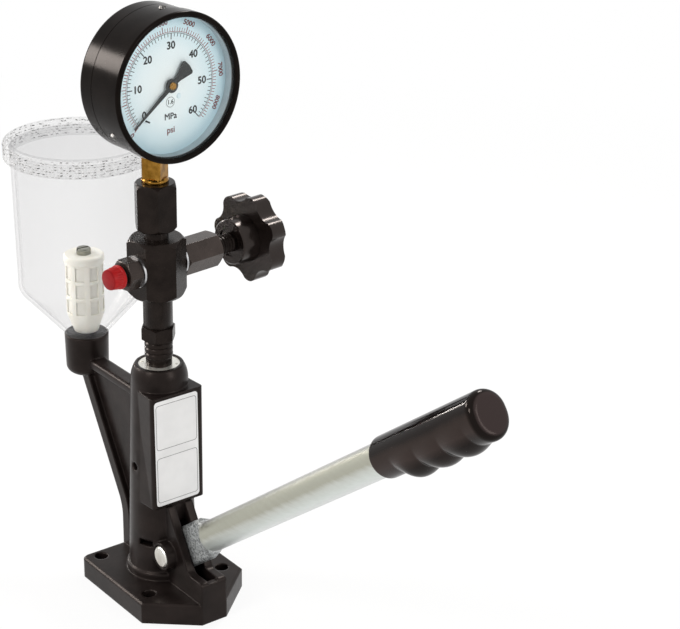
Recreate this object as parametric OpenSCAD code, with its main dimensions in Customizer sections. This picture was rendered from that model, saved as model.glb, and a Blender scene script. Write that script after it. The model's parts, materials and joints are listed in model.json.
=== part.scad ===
// Diesel injector tester: a lever pump in a cast stand, with a clear fuel tank on an arm, a
// pressure gauge, a shut-off valve and a capped outlet on a cross block.
// Millimetres. The origin is on the column axis at the underside of the base, +X points along
// the lever and +Z is up.

/* [Base] */
// Column axis to the rear edge
base_rear = 45; // [43:0.5:55]
// Column axis to the front end
base_front = 67; // [65:0.5:75]
// Width of the plate
base_w = 87; // [82:1:100]
// Column axis to where the front corners are cut off
base_side = 39; // [37:0.5:46]
// Thickness of the plate
base_t = 16; // [12:0.5:18]
// Radius of the rear corners
base_corner_r = 5; // [2:0.5:8]
// Bolt spacing, front to rear
bolt_pitch_x = 66; // [63:0.5:68]
// Bolt spacing, side to side
bolt_pitch_y = 63; // [60:0.5:66]
// Middle of the bolts, behind the column axis
bolt_back = 3; // [1:0.5:4]
// Diameter of the bolt holes
bolt_d = 10; // [8:0.5:11]

/* [Column] */
// Radius of the foot ring
foot_r = 26.5; // [26:0.25:29]
// Height of the foot ring above the plate
foot_h = 6; // [4:0.5:9]
// Radius of the column above its foot ring
column_low_r = 24.8; // [24:0.1:25.5]
// Radius of the column at its shoulder
column_high_r = 20.4; // [20:0.1:22]
// Radius of the rim at the top
rim_r = 17.2; // [16.8:0.1:19]
// Height of the rim above the floor
column_z = 179; // [176:0.5:186]
// Height of the rounded shoulder below the rim
shoulder_h = 11; // [8:0.5:14]
// Width of the label box
box_w = 43; // [40:0.5:46]
// Column axis to the face of the label box
box_x = 23.5; // [23:0.25:26]
// Height of the label box
box_h = 86.5; // [80:0.5:90]
// Top of the label box below the rim
box_drop = 15.5; // [13:0.5:18]

/* [Fork and lever] */
// Column axis to the lever pivot
pivot_x = 25; // [24.5:0.25:27]
// Height of the lever pivot
pivot_z = 39; // [38:0.25:42]
// Width of the fork over its cheeks
fork_w = 21; // [19:0.5:26]
// Height of the fork's front lips
fork_lip_z = 33; // [32:0.5:35]
// Height of the top of the cheeks
fork_top_z = 76; // [72:0.5:80]
// Radius of the pin bosses
pin_boss_r = 10.5; // [10:0.25:11]
// Pin bosses' faces from the middle plane
pin_boss_y = 18; // [16:0.5:20]
// Diameter of the pivot pin
pin_d = 12; // [10:0.5:12]
// Diameter of the pin's head
pin_head_d = 15.5; // [14.5:0.25:16.5]
// Lever above the horizontal when at rest
lever_angle = 36.7; // [34:0.1:38]
// Downward swing of the lever
lever_swing = 24; // [20:0.5:25]
// Diameter of the lever tube
tube_d = 22.7; // [20:0.1:23]
// Wall of the lever tube
tube_wall = 2.5; // [2:0.25:4]
// Thickness of the flattened end
tongue_t = 7.6; // [6.5:0.1:8.5]
// Height of the flattened end
tongue_h = 30; // [27:0.5:30]
// Pivot to the end of the flattened part
tongue_l = 42; // [41:0.5:46]
// Pivot to the start of the grip
grip_start = 287; // [260:1:300]
// Length of the grip
grip_l = 109; // [95:1:120]
// Diameter of the grip
grip_d = 27.4; // [25:0.2:30]
// Height of the bumps between the fingers
grip_bump = 6.4; // [3:0.1:7]
// Depth of the notches between the bumps
grip_notch = 3.3; // [1:0.1:4]
// Pivot to the nose that lifts the tappet
nose_reach = 28; // [27:0.25:29]

/* [Pump] */
// Radius of the chamber in the column
chamber_r = 13; // [12.5:0.1:13.5]
// Radius of the bore that holds the barrel
barrel_bore_r = 14; // [13.8:0.1:14.2]
// Radius of the ring nut
ring_r = 14.7; // [14.5:0.1:15]
// Diameter of the plunger
plunger_d = 8; // [6:0.5:10]
// Wire of the plunger spring
spring_wire = 2.4; // [1.6:0.1:2.6]
// Turns of the plunger spring
spring_turns = 8; // [5:1:8]
// Length of the barrel
barrel_h = 61; // [55:0.5:62]

/* [Cross block] */
// Turn of the block about the column axis, in degrees
top_turn = 6.9; // [-20:0.1:20]
// Width of the block across its flats
block_af = 36; // [34:0.5:40]
// Height of the block
block_h = 42.3; // [40:0.1:50]
// Valve axis above the bottom of the block
valve_rise = 21.2; // [20.5:0.1:23]
// Length of the stem below the block
stem_h = 23.7; // [18:0.1:30]
// Radius of the stem
stem_r = 10.4; // [9.5:0.1:12]
// Height of the lock nut
nut_h = 10; // [8:0.5:12]
// Width of the lock nut across its flats
nut_af = 22; // [20:0.5:24]
// Width of the gauge adaptor across its flats
adaptor_af = 27; // [24:0.5:30]
// Height of the gauge adaptor
adaptor_h = 33.8; // [33:0.1:45]

/* [Valve and outlet] */
// Width of the valve bonnet across its flats
bonnet_af = 23; // [22:0.5:26]
// Column axis to the outer end of the bonnet
bonnet_end = 51.3; // [50:0.1:62]
// Radius of the star knob over its lobes
knob_r = 32.4; // [29:0.1:36]
// Lobes on the star knob
knob_lobes = 7; // [5:1:9]
// Thickness of the star knob
knob_t = 13; // [12:0.5:20]
// Radius of the knob's hub
knob_hub_r = 16.4; // [14:0.1:18]
// Travel of the needle from closed to open
needle_travel = 2.25; // [1.5:0.25:3]
// Width of the outlet adaptor across its flats
outlet_af = 20; // [19:0.5:24]
// Diameter of the dust cap
cap_d = 16.8; // [15.5:0.1:19]
// Length of the dust cap
cap_l = 10; // [9.5:0.1:14]

/* [Gauge] */
// Turn of the gauge about the column axis, in degrees
gauge_turn = 4.2; // [-20:0.1:20]
// Radius of the bezel
bezel_r = 51; // [50.8:0.1:54]
// Radius of the case
case_r = 50.2; // [48.6:0.1:50.4]
// Depth of the case behind the column axis
case_back = 13.3; // [13:0.1:16]
// Front of the bezel ahead of the column axis
bezel_front = 29.9; // [29.5:0.1:34]
// Width of the bezel's front rim
bezel_rim = 4.2; // [3.5:0.1:5.5]
// Exposed length of the brass shank
shank_h = 17.8; // [16:0.1:30]
// Width of the square brass shank
shank_w = 14.2; // [13:0.2:16]
// Reach of the pointer from its axis
pointer_l = 39.5; // [30:0.5:42]
// Teeth of the pinion
pinion_teeth = 10; // [8:1:12]
// Teeth of the whole wheel that the sector is cut from
sector_teeth = 80; // [76:4:88]
// Module of the gear teeth
gear_module = 0.5; // [0.48:0.01:0.52]

/* [Tank] */
// Column axis to the tank axis
tank_x = 100.5; // [98:0.5:112]
// Radius of the tank wall at the lid
tank_r = 49.9; // [46:0.1:51]
// Wall of the tank
tank_wall = 2.4; // [1.8:0.1:3]
// Height of the tank above its boss
tank_h = 146.9; // [130:0.1:160]
// Radius of the boss that carries the tank
boss_r = 16.4; // [15.5:0.1:18]
// Radius of the lid over its knurl
lid_r = 55; // [53:0.1:57]
// Height of the lid
lid_h = 13.2; // [11:0.2:18]
// Knurl columns round the lid
lid_ribs = 60; // [40:1:72]
// Radius of the filter body
filter_r = 14; // [13:0.25:15]
// Height of the filter
filter_h = 60.5; // [50:0.5:80]

/* [Hidden] */
$fn = 64;
// Radial gap of parts that screw, press or fit together, and of shafts that run in holes
fit_gap = 0.05;
// Gap between pieces that move past each other
running_gap = 0.3;

// Heights in the column, from the rim down
ring_inset = 0.4;
ring_h = 7.6;
union_flange_h = 5;
seat_h = 6;
barrel_seal_t = 1;
ring_top_z = column_z - ring_inset;
flange_top_z = ring_top_z - ring_h;
flange_z = flange_top_z - union_flange_h;
barrel_top_z = flange_z - seat_h;
barrel_z = barrel_top_z - barrel_h;
screw_rise = 4;
ledge_z = barrel_z - barrel_seal_t;
port_z = barrel_top_z - 13;
shoulder_z = column_z - shoulder_h;
foot_z = base_t + foot_h;
box_top_z = column_z - box_drop;

// Heights above the rim
union_rise = 18.6;
neck_h = 6;
collar_h = 3.6;
union_top_z = column_z + union_rise;
stem_z = union_top_z + nut_h;
block_z = stem_z + stem_h;
block_top_z = block_z + block_h;
adaptor_z = block_top_z + neck_h;
adaptor_top_z = adaptor_z + adaptor_h;
gauge_z = adaptor_top_z + collar_h + shank_h + case_r;
valve_z = block_z + valve_rise;

// Lever, tappet and slot
slot_gap = 0.4;
slot_w = tongue_t + 2 * slot_gap;
slot_floor_z = base_t + 4;
slot_top_z = pivot_z + 23;
sill_t = 5;
sill_x = base_front - sill_t;
lever_low = lever_angle - lever_swing;
sill_z = pivot_z + (sill_x - pivot_x) * tan(lever_low) - tongue_h / 2 / cos(lever_low) - 0.5;
eye_r = 11;
arm_root_r = 8;
nose_r = 5;
dome_r = 6;
arm_droop = lever_swing / 2;
arm_taper = asin((arm_root_r - nose_r) / nose_reach);
function dome_centre_z(slope) =
    pivot_z + (arm_root_r + dome_r - pivot_x * sin(slope)) / cos(slope);
tappet_z = dome_centre_z(arm_droop + arm_taper) + running_gap;
tappet_lift = dome_centre_z(arm_droop + arm_taper - lever_swing) - tappet_z + running_gap;
tappet_body_z = tappet_z + 1.5;
tappet_floor_z = tappet_body_z + 4;
tappet_h = 14;
tappet_top_z = tappet_body_z + tappet_h;
plunger_flange_h = 3;
plate_t = 2.5;
plate_z = tappet_floor_z + plunger_flange_h;
spring_z = plate_z + plate_t;
plunger_top_z = port_z - 4;
spring_r = chamber_r - 1 - spring_wire / 2;
echo(tappet_lift = tappet_lift, tappet_z = tappet_z, lift_per_radian = tappet_lift / lever_swing * 180 / PI);

// Arm to the tank
arm_inset = 0.7;
arm_w = 14;
arm_reach = 3.7;
arm_web = 5;
arm_bar_h = 7.7;
arm_bar_edge = 3;
arm_flange = 9;
arm_knee_r = 34;
arm_knee_z = base_t + 21.9;
boss_low = 11;
boss_rise = 20.3;
boss_rim = 1.5;
tank_seat = 2.5;
gallery_r = 2;
boss_top_z = port_z + boss_rise;
tank_gasket_t = 1.5;
tank_z = boss_top_z - tank_seat + tank_gasket_t;
tank_floor_t = 3;
filter_z = tank_z + tank_floor_t;
filter_foot_h = 14.7;
filter_cap_h = 6;
filter_cap_t = 4;
filter_wall = 1.1;
tank_top_z = tank_z + tank_h;
tank_low_r = boss_r - boss_rim - 0.2;
tank_neck = 0.6;
tank_slope = 1.14;
tank_draft = 1.5;
bolt_r = 4;
bolt_head_r = 5.4;
bolt_head_h = 4.5;
bolt_depth = 18;
lid_top_t = 2.4;
lid_rim_w = 5.6;
lid_z = tank_top_z + running_gap + lid_top_t + 2 - lid_h;

// Sockets and spigots of the fittings
bore_r = 2;
spigot_r = 6;
spigot_l = 12;
outlet_thread_r = 7;
bonnet_thread_r = 8;
socket_l = 9;
washer_t = 1.5;
washer_r = 11.4;
face_y = block_af / 2;
outlet_hex_l = 11;
outlet_stub_r = 6.2;
outlet_stub_l = 10;
cap_gap = 2.2;
spindle_r = 5;
needle_r = 4;
needle_seat_y = 9;
spindle_y = 34;
gland_y = bonnet_end - 6.5;
gland_r = 7;
packing_l = 4;
hub_gap = 15;
hub_y = bonnet_end + hub_gap;
hub_l = 14.4;
hub_dish = 1;
knob_y = hub_y + hub_l;
spindle_thread_r = 7.2;
insert_r = 8;
insert_l = 18;
insert_y = hub_y + 3;

// Gauge layers along its axis, and the movement behind the dial
case_wall = 2;
lip_t = 1.8;
lens_t = 2;
gasket_t = 1;
lens_x = bezel_front - lip_t - lens_t - 0.2;
case_front = lens_x - gasket_t;
dial_depth = 6.9;
dial_x = case_front - dial_depth;
dial_t = 0.8;
dial_r = case_r - case_wall - running_gap;
bezel_l = 13;
pointer_x = dial_x + dial_t + 1.8;
pointer_t = 0.8;
zero_angle = 218.4;
pin_lead = 7.9;
plate_back_x = 2;
plate_front_x = 13;
plate_sheet = 1.2;
sector_x = 6;
sector_t = 1.4;
link_t = 1;
link_x = sector_x + sector_t + running_gap;
pinion_r = gear_module * pinion_teeth / 2;
sector_r = gear_module * sector_teeth / 2;
pivot_dir = 63.7;
sector_pivot = [-(pinion_r + sector_r) * cos(pivot_dir), -(pinion_r + sector_r) * sin(pivot_dir)];
pointer_sweep = 270;
sector_sweep = pointer_sweep * pinion_teeth / sector_teeth;
link_pin = [sector_pivot[0] + 10 * cos(30), sector_pivot[1] + 10 * sin(30)];
tip_angle = 196;
tip_r = 27;
tip_point = [tip_r * cos(tip_angle), tip_r * sin(tip_angle)];
bourdon_r = 30;
bourdon_t = 6;
bourdon_w = 11;
bourdon_end = 170;
block_in_w = 14;
block_in_top = -29;

// Points of an arc about c from angle a to angle b
function arc(c, r, a, b, n = 6) =
    [for (i = [0 : n]) let (t = a + (b - a) * i / n) [c[0] + r * cos(t), c[1] + r * sin(t)]];

// Faces of a closed tube of rings, each with the same number of points
function tube_faces(rings, sides) = concat(
    [[for (j = [sides - 1 : -1 : 0]) j]],
    [for (i = [0 : rings - 2], j = [0 : sides - 1]) let (k = (j + 1) % sides)
        [i * sides + j, i * sides + k, (i + 1) * sides + k]],
    [for (i = [0 : rings - 2], j = [0 : sides - 1]) let (k = (j + 1) % sides)
        [i * sides + j, (i + 1) * sides + k, (i + 1) * sides + j]],
    [[for (j = [0 : sides - 1]) (rings - 1) * sides + j]]);

// A coil spring about +Z, standing from z0 to z1
module coil(r, wire, turns, z0, z1, steps = 10, sides = 6) {
    rings = turns * steps + 1;
    rise = z1 - z0 - wire;
    points = [for (i = [0 : rings - 1], j = [0 : sides - 1])
        let (a = 360 * i / steps, b = 360 * j / sides, ring_r = r + wire / 2 * cos(b))
        [ring_r * cos(a), ring_r * sin(a), z0 + wire / 2 + rise * i / (rings - 1) + wire / 2 * sin(b)]];
    polyhedron(points, tube_faces(rings, sides));
}

module ring(r_out, r_in, h) {
    difference() {
        cylinder(r = r_out, h = h);
        translate([0, 0, -1]) cylinder(r = r_in, h = h + 2);
    }
}

// A hexagon bar with turned ends, corners along +X
module turned_hex(af, h, bevel = 1.5) {
    corner_r = af / 2 / cos(30);
    face_r = af / 2 - 0.3;
    intersection() {
        cylinder(r = corner_r, h = h, $fn = 6);
        rotate_extrude() polygon([[0, 0], [face_r, 0], [corner_r + 0.1, bevel], [corner_r + 0.1, h - bevel],
            [face_r, h], [0, h]]);
    }
}

module side_plate(t) { rotate([90, 0, 0]) linear_extrude(t, center = true) children(); }
module top() { rotate([0, 0, top_turn]) children(); }
module gauge_top() { rotate([0, 0, gauge_turn]) children(); }
// Along the valve axis: local +Z points out of the block towards the knob, or the outlet
module on_valve() { top() translate([0, 0, valve_z]) rotate([-90, 0, 0]) children(); }
module on_outlet() { top() translate([0, 0, valve_z]) rotate([90, 0, 0]) children(); }
// On the gauge: local X is right and Y up as the dial is read, and +Z points out of the dial
module on_gauge(x = 0) { gauge_top() translate([x, 0, gauge_z]) rotate([90, 0, 90]) children(); }
module on_lever() { translate([pivot_x, 0, pivot_z]) rotate([0, -lever_angle, 0]) children(); }

// Cast stand

module base_outline() {
    rear = -base_rear + base_corner_r;
    side = base_w / 2 - base_corner_r;
    polygon(concat(arc([rear, side], base_corner_r, 90, 180), arc([rear, -side], base_corner_r, 180, 270),
        [[base_side, -base_w / 2], [base_front, -fork_w / 2], [base_front, fork_w / 2],
        [base_side, base_w / 2]]));
}

module base_plate() {
    edge = 1.5;
    linear_extrude(base_t - edge) base_outline();
    hull() {
        translate([0, 0, base_t - edge - 0.5]) linear_extrude(0.5) base_outline();
        translate([0, 0, base_t / 2]) linear_extrude(base_t / 2) offset(delta = -edge) base_outline();
    }
}

function column_r(z) =
    column_low_r + (column_high_r - column_low_r) * min(1, (z - foot_z) / (shoulder_z - foot_z));

module column() {
    drop = column_high_r - rim_r;
    curve_r = (shoulder_h * shoulder_h + drop * drop) / (2 * drop);
    rotate_extrude() polygon(concat([[0, base_t / 2], [foot_r, base_t / 2], [foot_r, foot_z - 1.5],
        [foot_r - 1, foot_z], [column_low_r, foot_z]],
        arc([column_high_r - curve_r, shoulder_z], curve_r, 0, asin(shoulder_h / curve_r), 8), [[0, column_z]]));
}

// The label box's outline at a height: its sides run back from the front corners into the column
function label_ring(z) =
    let (edge_r = 3, corner = [box_x - edge_r, box_w / 2], r = column_r(z) - 0.4,
        turn = atan2(corner[1], corner[0]) + acos(r / norm(corner)), meet = r * [cos(turn), sin(turn)])
    [for (p = concat(arc([corner[0], corner[1] - edge_r], edge_r, 90, 0),
        arc([corner[0], edge_r - corner[1]], edge_r, 0, -90), [[meet[0], -meet[1]], meet])) [p[0], p[1], z]];

module label_box() {
    low = label_ring(box_top_z - box_h);
    polyhedron(concat(low, label_ring(box_top_z)), tube_faces(2, len(low)));
}

module fork() {
    heel_x = pivot_x + 25;
    heel_r = 6;
    edge_r = 3;
    back_x = column_low_r - 0.8;
    slope = atan2(fork_top_z - fork_lip_z, back_x - heel_x);
    side_plate(fork_w) polygon(concat([[0, base_t / 2], [base_front, base_t / 2]],
        arc([base_front - edge_r, fork_lip_z - edge_r], edge_r, 0, 90),
        arc([heel_x + heel_r / tan(slope / 2), fork_lip_z + heel_r], heel_r, 270, slope + 90),
        [[back_x, fork_top_z], [0, fork_top_z]]));
    translate([pivot_x, 0, pivot_z]) rotate([90, 0, 0])
        cylinder(r = pin_boss_r, h = 2 * pin_boss_y, center = true);
}

// The arm's outer edge is a line from the tank boss, tangent to an arc that ends at the base
module arm() {
    foot_x = -base_rear + arm_inset;
    centre = [foot_x - arm_knee_r, arm_knee_z];
    outer_x = -tank_x - arm_reach;
    from = [outer_x, port_z] - centre;
    lean = atan2(from[1], from[0]) - acos(arm_knee_r / norm(from));
    inner_r = arm_knee_r + arm_flange;
    inner_x = centre[0] + inner_r * cos(lean)
        - (port_z - centre[1] - inner_r * sin(lean)) * tan(lean);
    outer = concat([[outer_x, port_z]], arc(centre, arm_knee_r, lean, 0), [[foot_x, base_t / 2]]);
    side_plate(arm_w) polygon(concat(outer, [[foot_x + arm_flange, base_t / 2]],
        arc(centre, inner_r, 0, lean), [[inner_x, port_z]]));
    side_plate(arm_web) polygon(concat(outer, [[-column_high_r + 5, base_t / 2], [-column_high_r + 5, port_z]]));
    bar = [arm_w / 2 - arm_bar_edge, arm_bar_h / 2 - arm_bar_edge];
    translate([-tank_x, 0, port_z]) rotate([90, 0, 90]) linear_extrude(tank_x - chamber_r) polygon(concat(
        arc(bar, arm_bar_edge, 0, 90), arc([-bar[0], bar[1]], arm_bar_edge, 90, 180),
        arc(-bar, arm_bar_edge, 180, 270), arc([bar[0], -bar[1]], arm_bar_edge, 270, 360)));
    translate([-tank_x, 0, 0]) rotate_extrude() polygon(concat([[0, port_z - boss_low]],
        arc([boss_r - 6.5, port_z - boss_low + 6], 6, -90, 0), [[boss_r, boss_top_z - 0.6],
        [boss_r - 0.6, boss_top_z], [0, boss_top_z]]));
}

module bolt_holes() {
    for (i = [-1, 1], j = [-1, 1])
        translate([i * bolt_pitch_x / 2 - bolt_back, j * bolt_pitch_y / 2, -1]) cylinder(d = bolt_d, h = base_t + 2);
}

module pump_body() color([0.12, 0.11, 0.11]) {
    vent = [20, 11, 4.5];
    difference() {
        union() {
            base_plate();
            column();
            label_box();
            fork();
            arm();
        }
        bolt_holes();
        // Chamber for the lever nose, tappet and spring, then the barrel and the ring nut
        translate([0, 0, slot_floor_z]) cylinder(r = chamber_r, h = column_z);
        translate([0, 0, ledge_z]) cylinder(r = barrel_bore_r, h = column_z);
        translate([0, 0, flange_top_z]) cylinder(r = ring_r + fit_gap, h = column_z);
        // Slot in which the lever swings, closed by a sill at the front
        side_plate(slot_w) polygon([[0, slot_floor_z], [sill_x, slot_floor_z], [sill_x, sill_z],
            [base_front + 1, sill_z], [base_front + 1, fork_top_z + 0.5], [column_low_r - 2, fork_top_z + 0.5],
            [column_low_r - 2, slot_top_z], [0, slot_top_z]]);
        // Pivot bore with a recess for the pin's head
        translate([pivot_x, 0, pivot_z]) rotate([90, 0, 0]) {
            cylinder(d = pin_d + 2 * fit_gap, h = 3 * pin_boss_y, center = true);
            translate([0, 0, pin_boss_y - 2.5]) cylinder(d = pin_head_d + 1.4, h = 5);
        }
        // Fuel gallery through the arm, and the tank bolt's thread
        translate([-tank_x, 0, port_z]) rotate([0, 90, 0]) cylinder(r = gallery_r, h = tank_x);
        translate([-tank_x, 0, boss_top_z - bolt_depth - 6]) cylinder(r = bolt_r + fit_gap, h = bolt_depth + 7);
        translate([-tank_x, 0, boss_top_z - tank_seat]) cylinder(r = boss_r - boss_rim, h = tank_seat + 1);
        // Vent low in the column, and the barrel screw's hole
        rotate([0, 0, -63]) translate([chamber_r - 2, -vent[1] / 2, pivot_z + 3.8]) cube(vent);
        translate([0, 0, barrel_z + screw_rise]) rotate([90, 0, 0]) cylinder(r = 3.2, h = column_low_r + 5);
    }
}

module barrel_screw() color("dimgray") {
    translate([0, 0, barrel_z + screw_rise]) rotate([90, 0, 0]) difference() {
        translate([0, 0, barrel_bore_r - 1.2]) cylinder(r = 3.2 - fit_gap, h = 6.2);
        translate([0, 0, barrel_bore_r + 3]) cylinder(r = 1.7, h = 5, $fn = 6);
    }
}

module pivot_pin() color([0.85, 0.84, 0.78]) {
    head_h = 3;
    translate([pivot_x, -pin_boss_y + 2.5, pivot_z]) rotate([-90, 0, 0]) difference() {
        union() {
            cylinder(d = pin_d, h = 2 * pin_boss_y - 1);
            rotate_extrude() polygon([[0, -head_h], [pin_head_d / 2 - 0.8, -head_h], [pin_head_d / 2, 0.8 - head_h],
                [pin_head_d / 2, 0], [0, 0]]);
        }
        translate([0, 0, 2 * pin_boss_y - 2.5 + fit_gap]) ring(pin_d, pin_d / 2 - 0.8, 1.2);
    }
}

module pin_circlip() color("silver") {
    translate([pivot_x, pin_boss_y + 2 * fit_gap, pivot_z]) rotate([-90, 0, 0]) difference() {
        ring(pin_d / 2 + 2, pin_d / 2 - 0.75, 1.1);
        translate([-pin_d, -2, -1]) cube([pin_d, 4, 3]);
    }
}

// Lever, in the lever's own frame: +X along the tube from the pivot

module tongue_section() {
    square([tongue_h - tongue_t, tongue_t], center = true);
    for (s = [-1, 1]) translate([s * (tongue_h - tongue_t) / 2, 0]) circle(d = tongue_t);
}

module lever_tube() color([0.75, 0.76, 0.72]) {
    flare_l = 10;
    nose_dir = 180 + arm_droop - lever_angle;
    nose = [nose_reach * cos(nose_dir), nose_reach * sin(nose_dir)];
    tube_end = grip_start + grip_l - grip_end_t;
    on_lever() difference() {
        union() {
            side_plate(tongue_t) {
                circle(r = eye_r);
                translate(nose) circle(r = nose_r);
                polygon([arm_root_r * [cos(nose_dir + 90 - arm_taper), sin(nose_dir + 90 - arm_taper)],
                    nose + nose_r * [cos(nose_dir + 90 - arm_taper), sin(nose_dir + 90 - arm_taper)],
                    nose + nose_r * [cos(nose_dir - 90 + arm_taper), sin(nose_dir - 90 + arm_taper)],
                    arm_root_r * [cos(nose_dir - 90 + arm_taper), sin(nose_dir - 90 + arm_taper)]]);
                translate([0, -eye_r]) square([eye_r, 2 * eye_r]);
            }
            translate([arm_root_r, 0, 0]) rotate([0, 90, 0]) linear_extrude(tongue_l - arm_root_r) tongue_section();
            hull() {
                translate([tongue_l - 0.1, 0, 0]) rotate([0, 90, 0]) linear_extrude(0.1) tongue_section($fn = 32);
                translate([tongue_l + flare_l, 0, 0]) rotate([0, 90, 0]) cylinder(d = tube_d, h = 0.1, $fn = 32);
            }
            translate([tongue_l + flare_l, 0, 0]) rotate([0, 90, 0])
                cylinder(d = tube_d, h = tube_end - tongue_l - flare_l);
        }
        rotate([90, 0, 0]) cylinder(d = pin_d + 2 * fit_gap, h = 2 * tongue_t, center = true);
        translate([tongue_l + 2 * flare_l, 0, 0]) rotate([0, 90, 0]) cylinder(d = tube_d - 2 * tube_wall, h = tube_end);
    }
}

// Moulded grip: a round section along +X, with bumps on its underside that part the fingers
grip_lead = 19;
grip_pitch = 25.5;
grip_lobes = 3;
grip_head = 3.5;
grip_lip = 0.8;
grip_edge = 5;
grip_end_t = 5;
function end_round(d, r) = d < r ? r - sqrt(max(0, r * r - (r - d) * (r - d))) : 0;
function bump_height(s) = let (t = (s - grip_lead) / grip_pitch)
    t <= 0 ? 0 : t < 0.5 ? grip_bump * sin(180 * t)
        : t < grip_lobes ? grip_bump - grip_notch * (1 - abs(sin(180 * t)))
        : grip_bump - grip_notch + (grip_head - grip_bump + grip_notch) * sin(min(90, 180 * (t - grip_lobes)));
function grip_point(s, a) =
    let (r = grip_d / 2 + bump_height(s) * pow(max(0, sin(a)), 1.5)
        - end_round(s, grip_lip) - end_round(grip_l - s, grip_edge))
    [s, r * cos(a), -r * sin(a)];

module lever_grip() color([0.07, 0.06, 0.06]) {
    sides = 28;
    lead_steps = 4;
    bump_steps = 12;
    edge_steps = 5;
    bump_rings = floor((grip_l - grip_edge - grip_lead - grip_lip / 2) / grip_pitch * bump_steps);
    stations = concat([0, grip_lip / 4], [for (i = [0 : lead_steps]) grip_lip + (grip_lead - grip_lip) * i / lead_steps],
        [for (i = [1 : bump_rings]) grip_lead + grip_pitch * i / bump_steps],
        [for (i = [0 : edge_steps]) grip_l - grip_edge * (1 - sin(90 * i / edge_steps))]);
    points = [for (s = stations, j = [0 : sides - 1]) grip_point(s, 360 * j / sides)];
    on_lever() translate([grip_start, 0, 0]) difference() {
        polyhedron(points, tube_faces(len(stations), sides));
        rotate([0, 90, 0]) translate([0, 0, -1]) cylinder(d = tube_d + 2 * fit_gap, h = grip_l - grip_end_t + 1 + fit_gap);
    }
}

// Pump pieces inside the column

module tappet() color("gray") {
    body_r = chamber_r - fit_gap;
    difference() {
        union() {
            translate([0, 0, tappet_z]) sphere(r = dome_r);
            translate([0, 0, tappet_z]) cylinder(r = dome_r, h = tappet_floor_z - tappet_z);
            translate([0, 0, tappet_body_z]) cylinder(r = body_r, h = tappet_h);
        }
        translate([0, 0, tappet_floor_z]) cylinder(r = body_r - 1.5, h = tappet_h);
    }
}

module plunger() color("lightgray") {
    translate([0, 0, tappet_floor_z]) cylinder(d = plunger_d + 4, h = plunger_flange_h);
    translate([0, 0, tappet_floor_z]) cylinder(d = plunger_d, h = plunger_top_z - tappet_floor_z);
}

module spring_plate() color("gray") {
    translate([0, 0, plate_z]) ring(chamber_r - fit_gap - 1.5 - fit_gap, plunger_d / 2 + fit_gap, plate_t);
}

module plunger_spring() color("darkgray") {
    coil(spring_r - 0.8, spring_wire, spring_turns, spring_z + 0.1, barrel_z - 0.1);
}

module pump_barrel() color("silver") {
    groove_r = barrel_bore_r - 2;
    barrel_r = barrel_bore_r - fit_gap;
    difference() {
        translate([0, 0, barrel_z]) cylinder(r = barrel_r, h = barrel_h);
        translate([0, 0, barrel_z - 1]) cylinder(d = plunger_d + 2 * fit_gap, h = barrel_h + 2);
        translate([0, 0, port_z - 2]) ring(barrel_r + 1, groove_r, 4);
        translate([0, 0, port_z]) rotate([0, 90, 0]) cylinder(r = 1.5, h = 4 * barrel_r, center = true);
        translate([0, 0, barrel_z + screw_rise]) rotate([90, 0, 0]) translate([0, 0, barrel_bore_r - 1.3]) cylinder(r = 3.2, h = 5);
    }
}

module barrel_seal() color("peru") {
    translate([0, 0, ledge_z]) ring(barrel_bore_r - fit_gap, chamber_r, barrel_seal_t);
}

module delivery_seat() color("gainsboro") {
    translate([0, 0, barrel_top_z]) ring(barrel_bore_r - fit_gap, bore_r, seat_h);
}

module delivery_valve() color("goldenrod") {
    translate([0, 0, flange_z - 4]) cylinder(r = bore_r - fit_gap, h = 4.5);
    translate([0, 0, flange_z]) cylinder(r = 3.6, h = 3);
}

module delivery_spring() color("darkgray") {
    coil(2.6, 0.8, 6, flange_z + 3.1, flange_z + 14.9, 8);
}

module delivery_union() color([0.16, 0.14, 0.13]) {
    neck_r = 9.3;
    rib_r = 10;
    rib_h = 4.2;
    ribs = 3;
    first_rib_z = union_top_z - 1 - ribs * rib_h;
    difference() {
        union() {
            translate([0, 0, flange_z]) cylinder(r = barrel_bore_r - fit_gap, h = union_flange_h);
            translate([0, 0, flange_z]) cylinder(r = neck_r, h = union_top_z - flange_z);
            for (i = [0 : ribs - 1]) translate([0, 0, first_rib_z + i * rib_h]) rotate_extrude()
                polygon([[0, 0], [neck_r, 0], [rib_r, 0.9], [rib_r, rib_h - 1.1], [neck_r, rib_h - 0.2], [0, rib_h - 0.2]]);
        }
        translate([0, 0, flange_z - 1]) cylinder(r = 5, h = 16);
        translate([0, 0, flange_z]) cylinder(r = bore_r, h = union_top_z - flange_z);
        translate([0, 0, union_top_z - spigot_l]) cylinder(r = spigot_r + fit_gap, h = spigot_l + 1);
    }
}

module ring_nut() color([0.85, 0.84, 0.78]) {
    translate([0, 0, flange_top_z]) difference() {
        ring(ring_r, 9.3 + fit_gap, ring_h);
        for (a = [0, 180]) rotate([0, 0, a + 45]) translate([ring_r - 2.4, 0, ring_h - 2]) cylinder(r = 1.2, h = 3);
    }
}

// Cross block and what screws into it

module lock_nut() color([0.16, 0.14, 0.13]) {
    top() difference() {
        translate([0, 0, union_top_z]) rotate([0, 0, 12]) turned_hex(nut_af, nut_h, 1.2);
        translate([0, 0, union_top_z - 1]) cylinder(r = spigot_r + fit_gap, h = nut_h + 2);
    }
}

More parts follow.
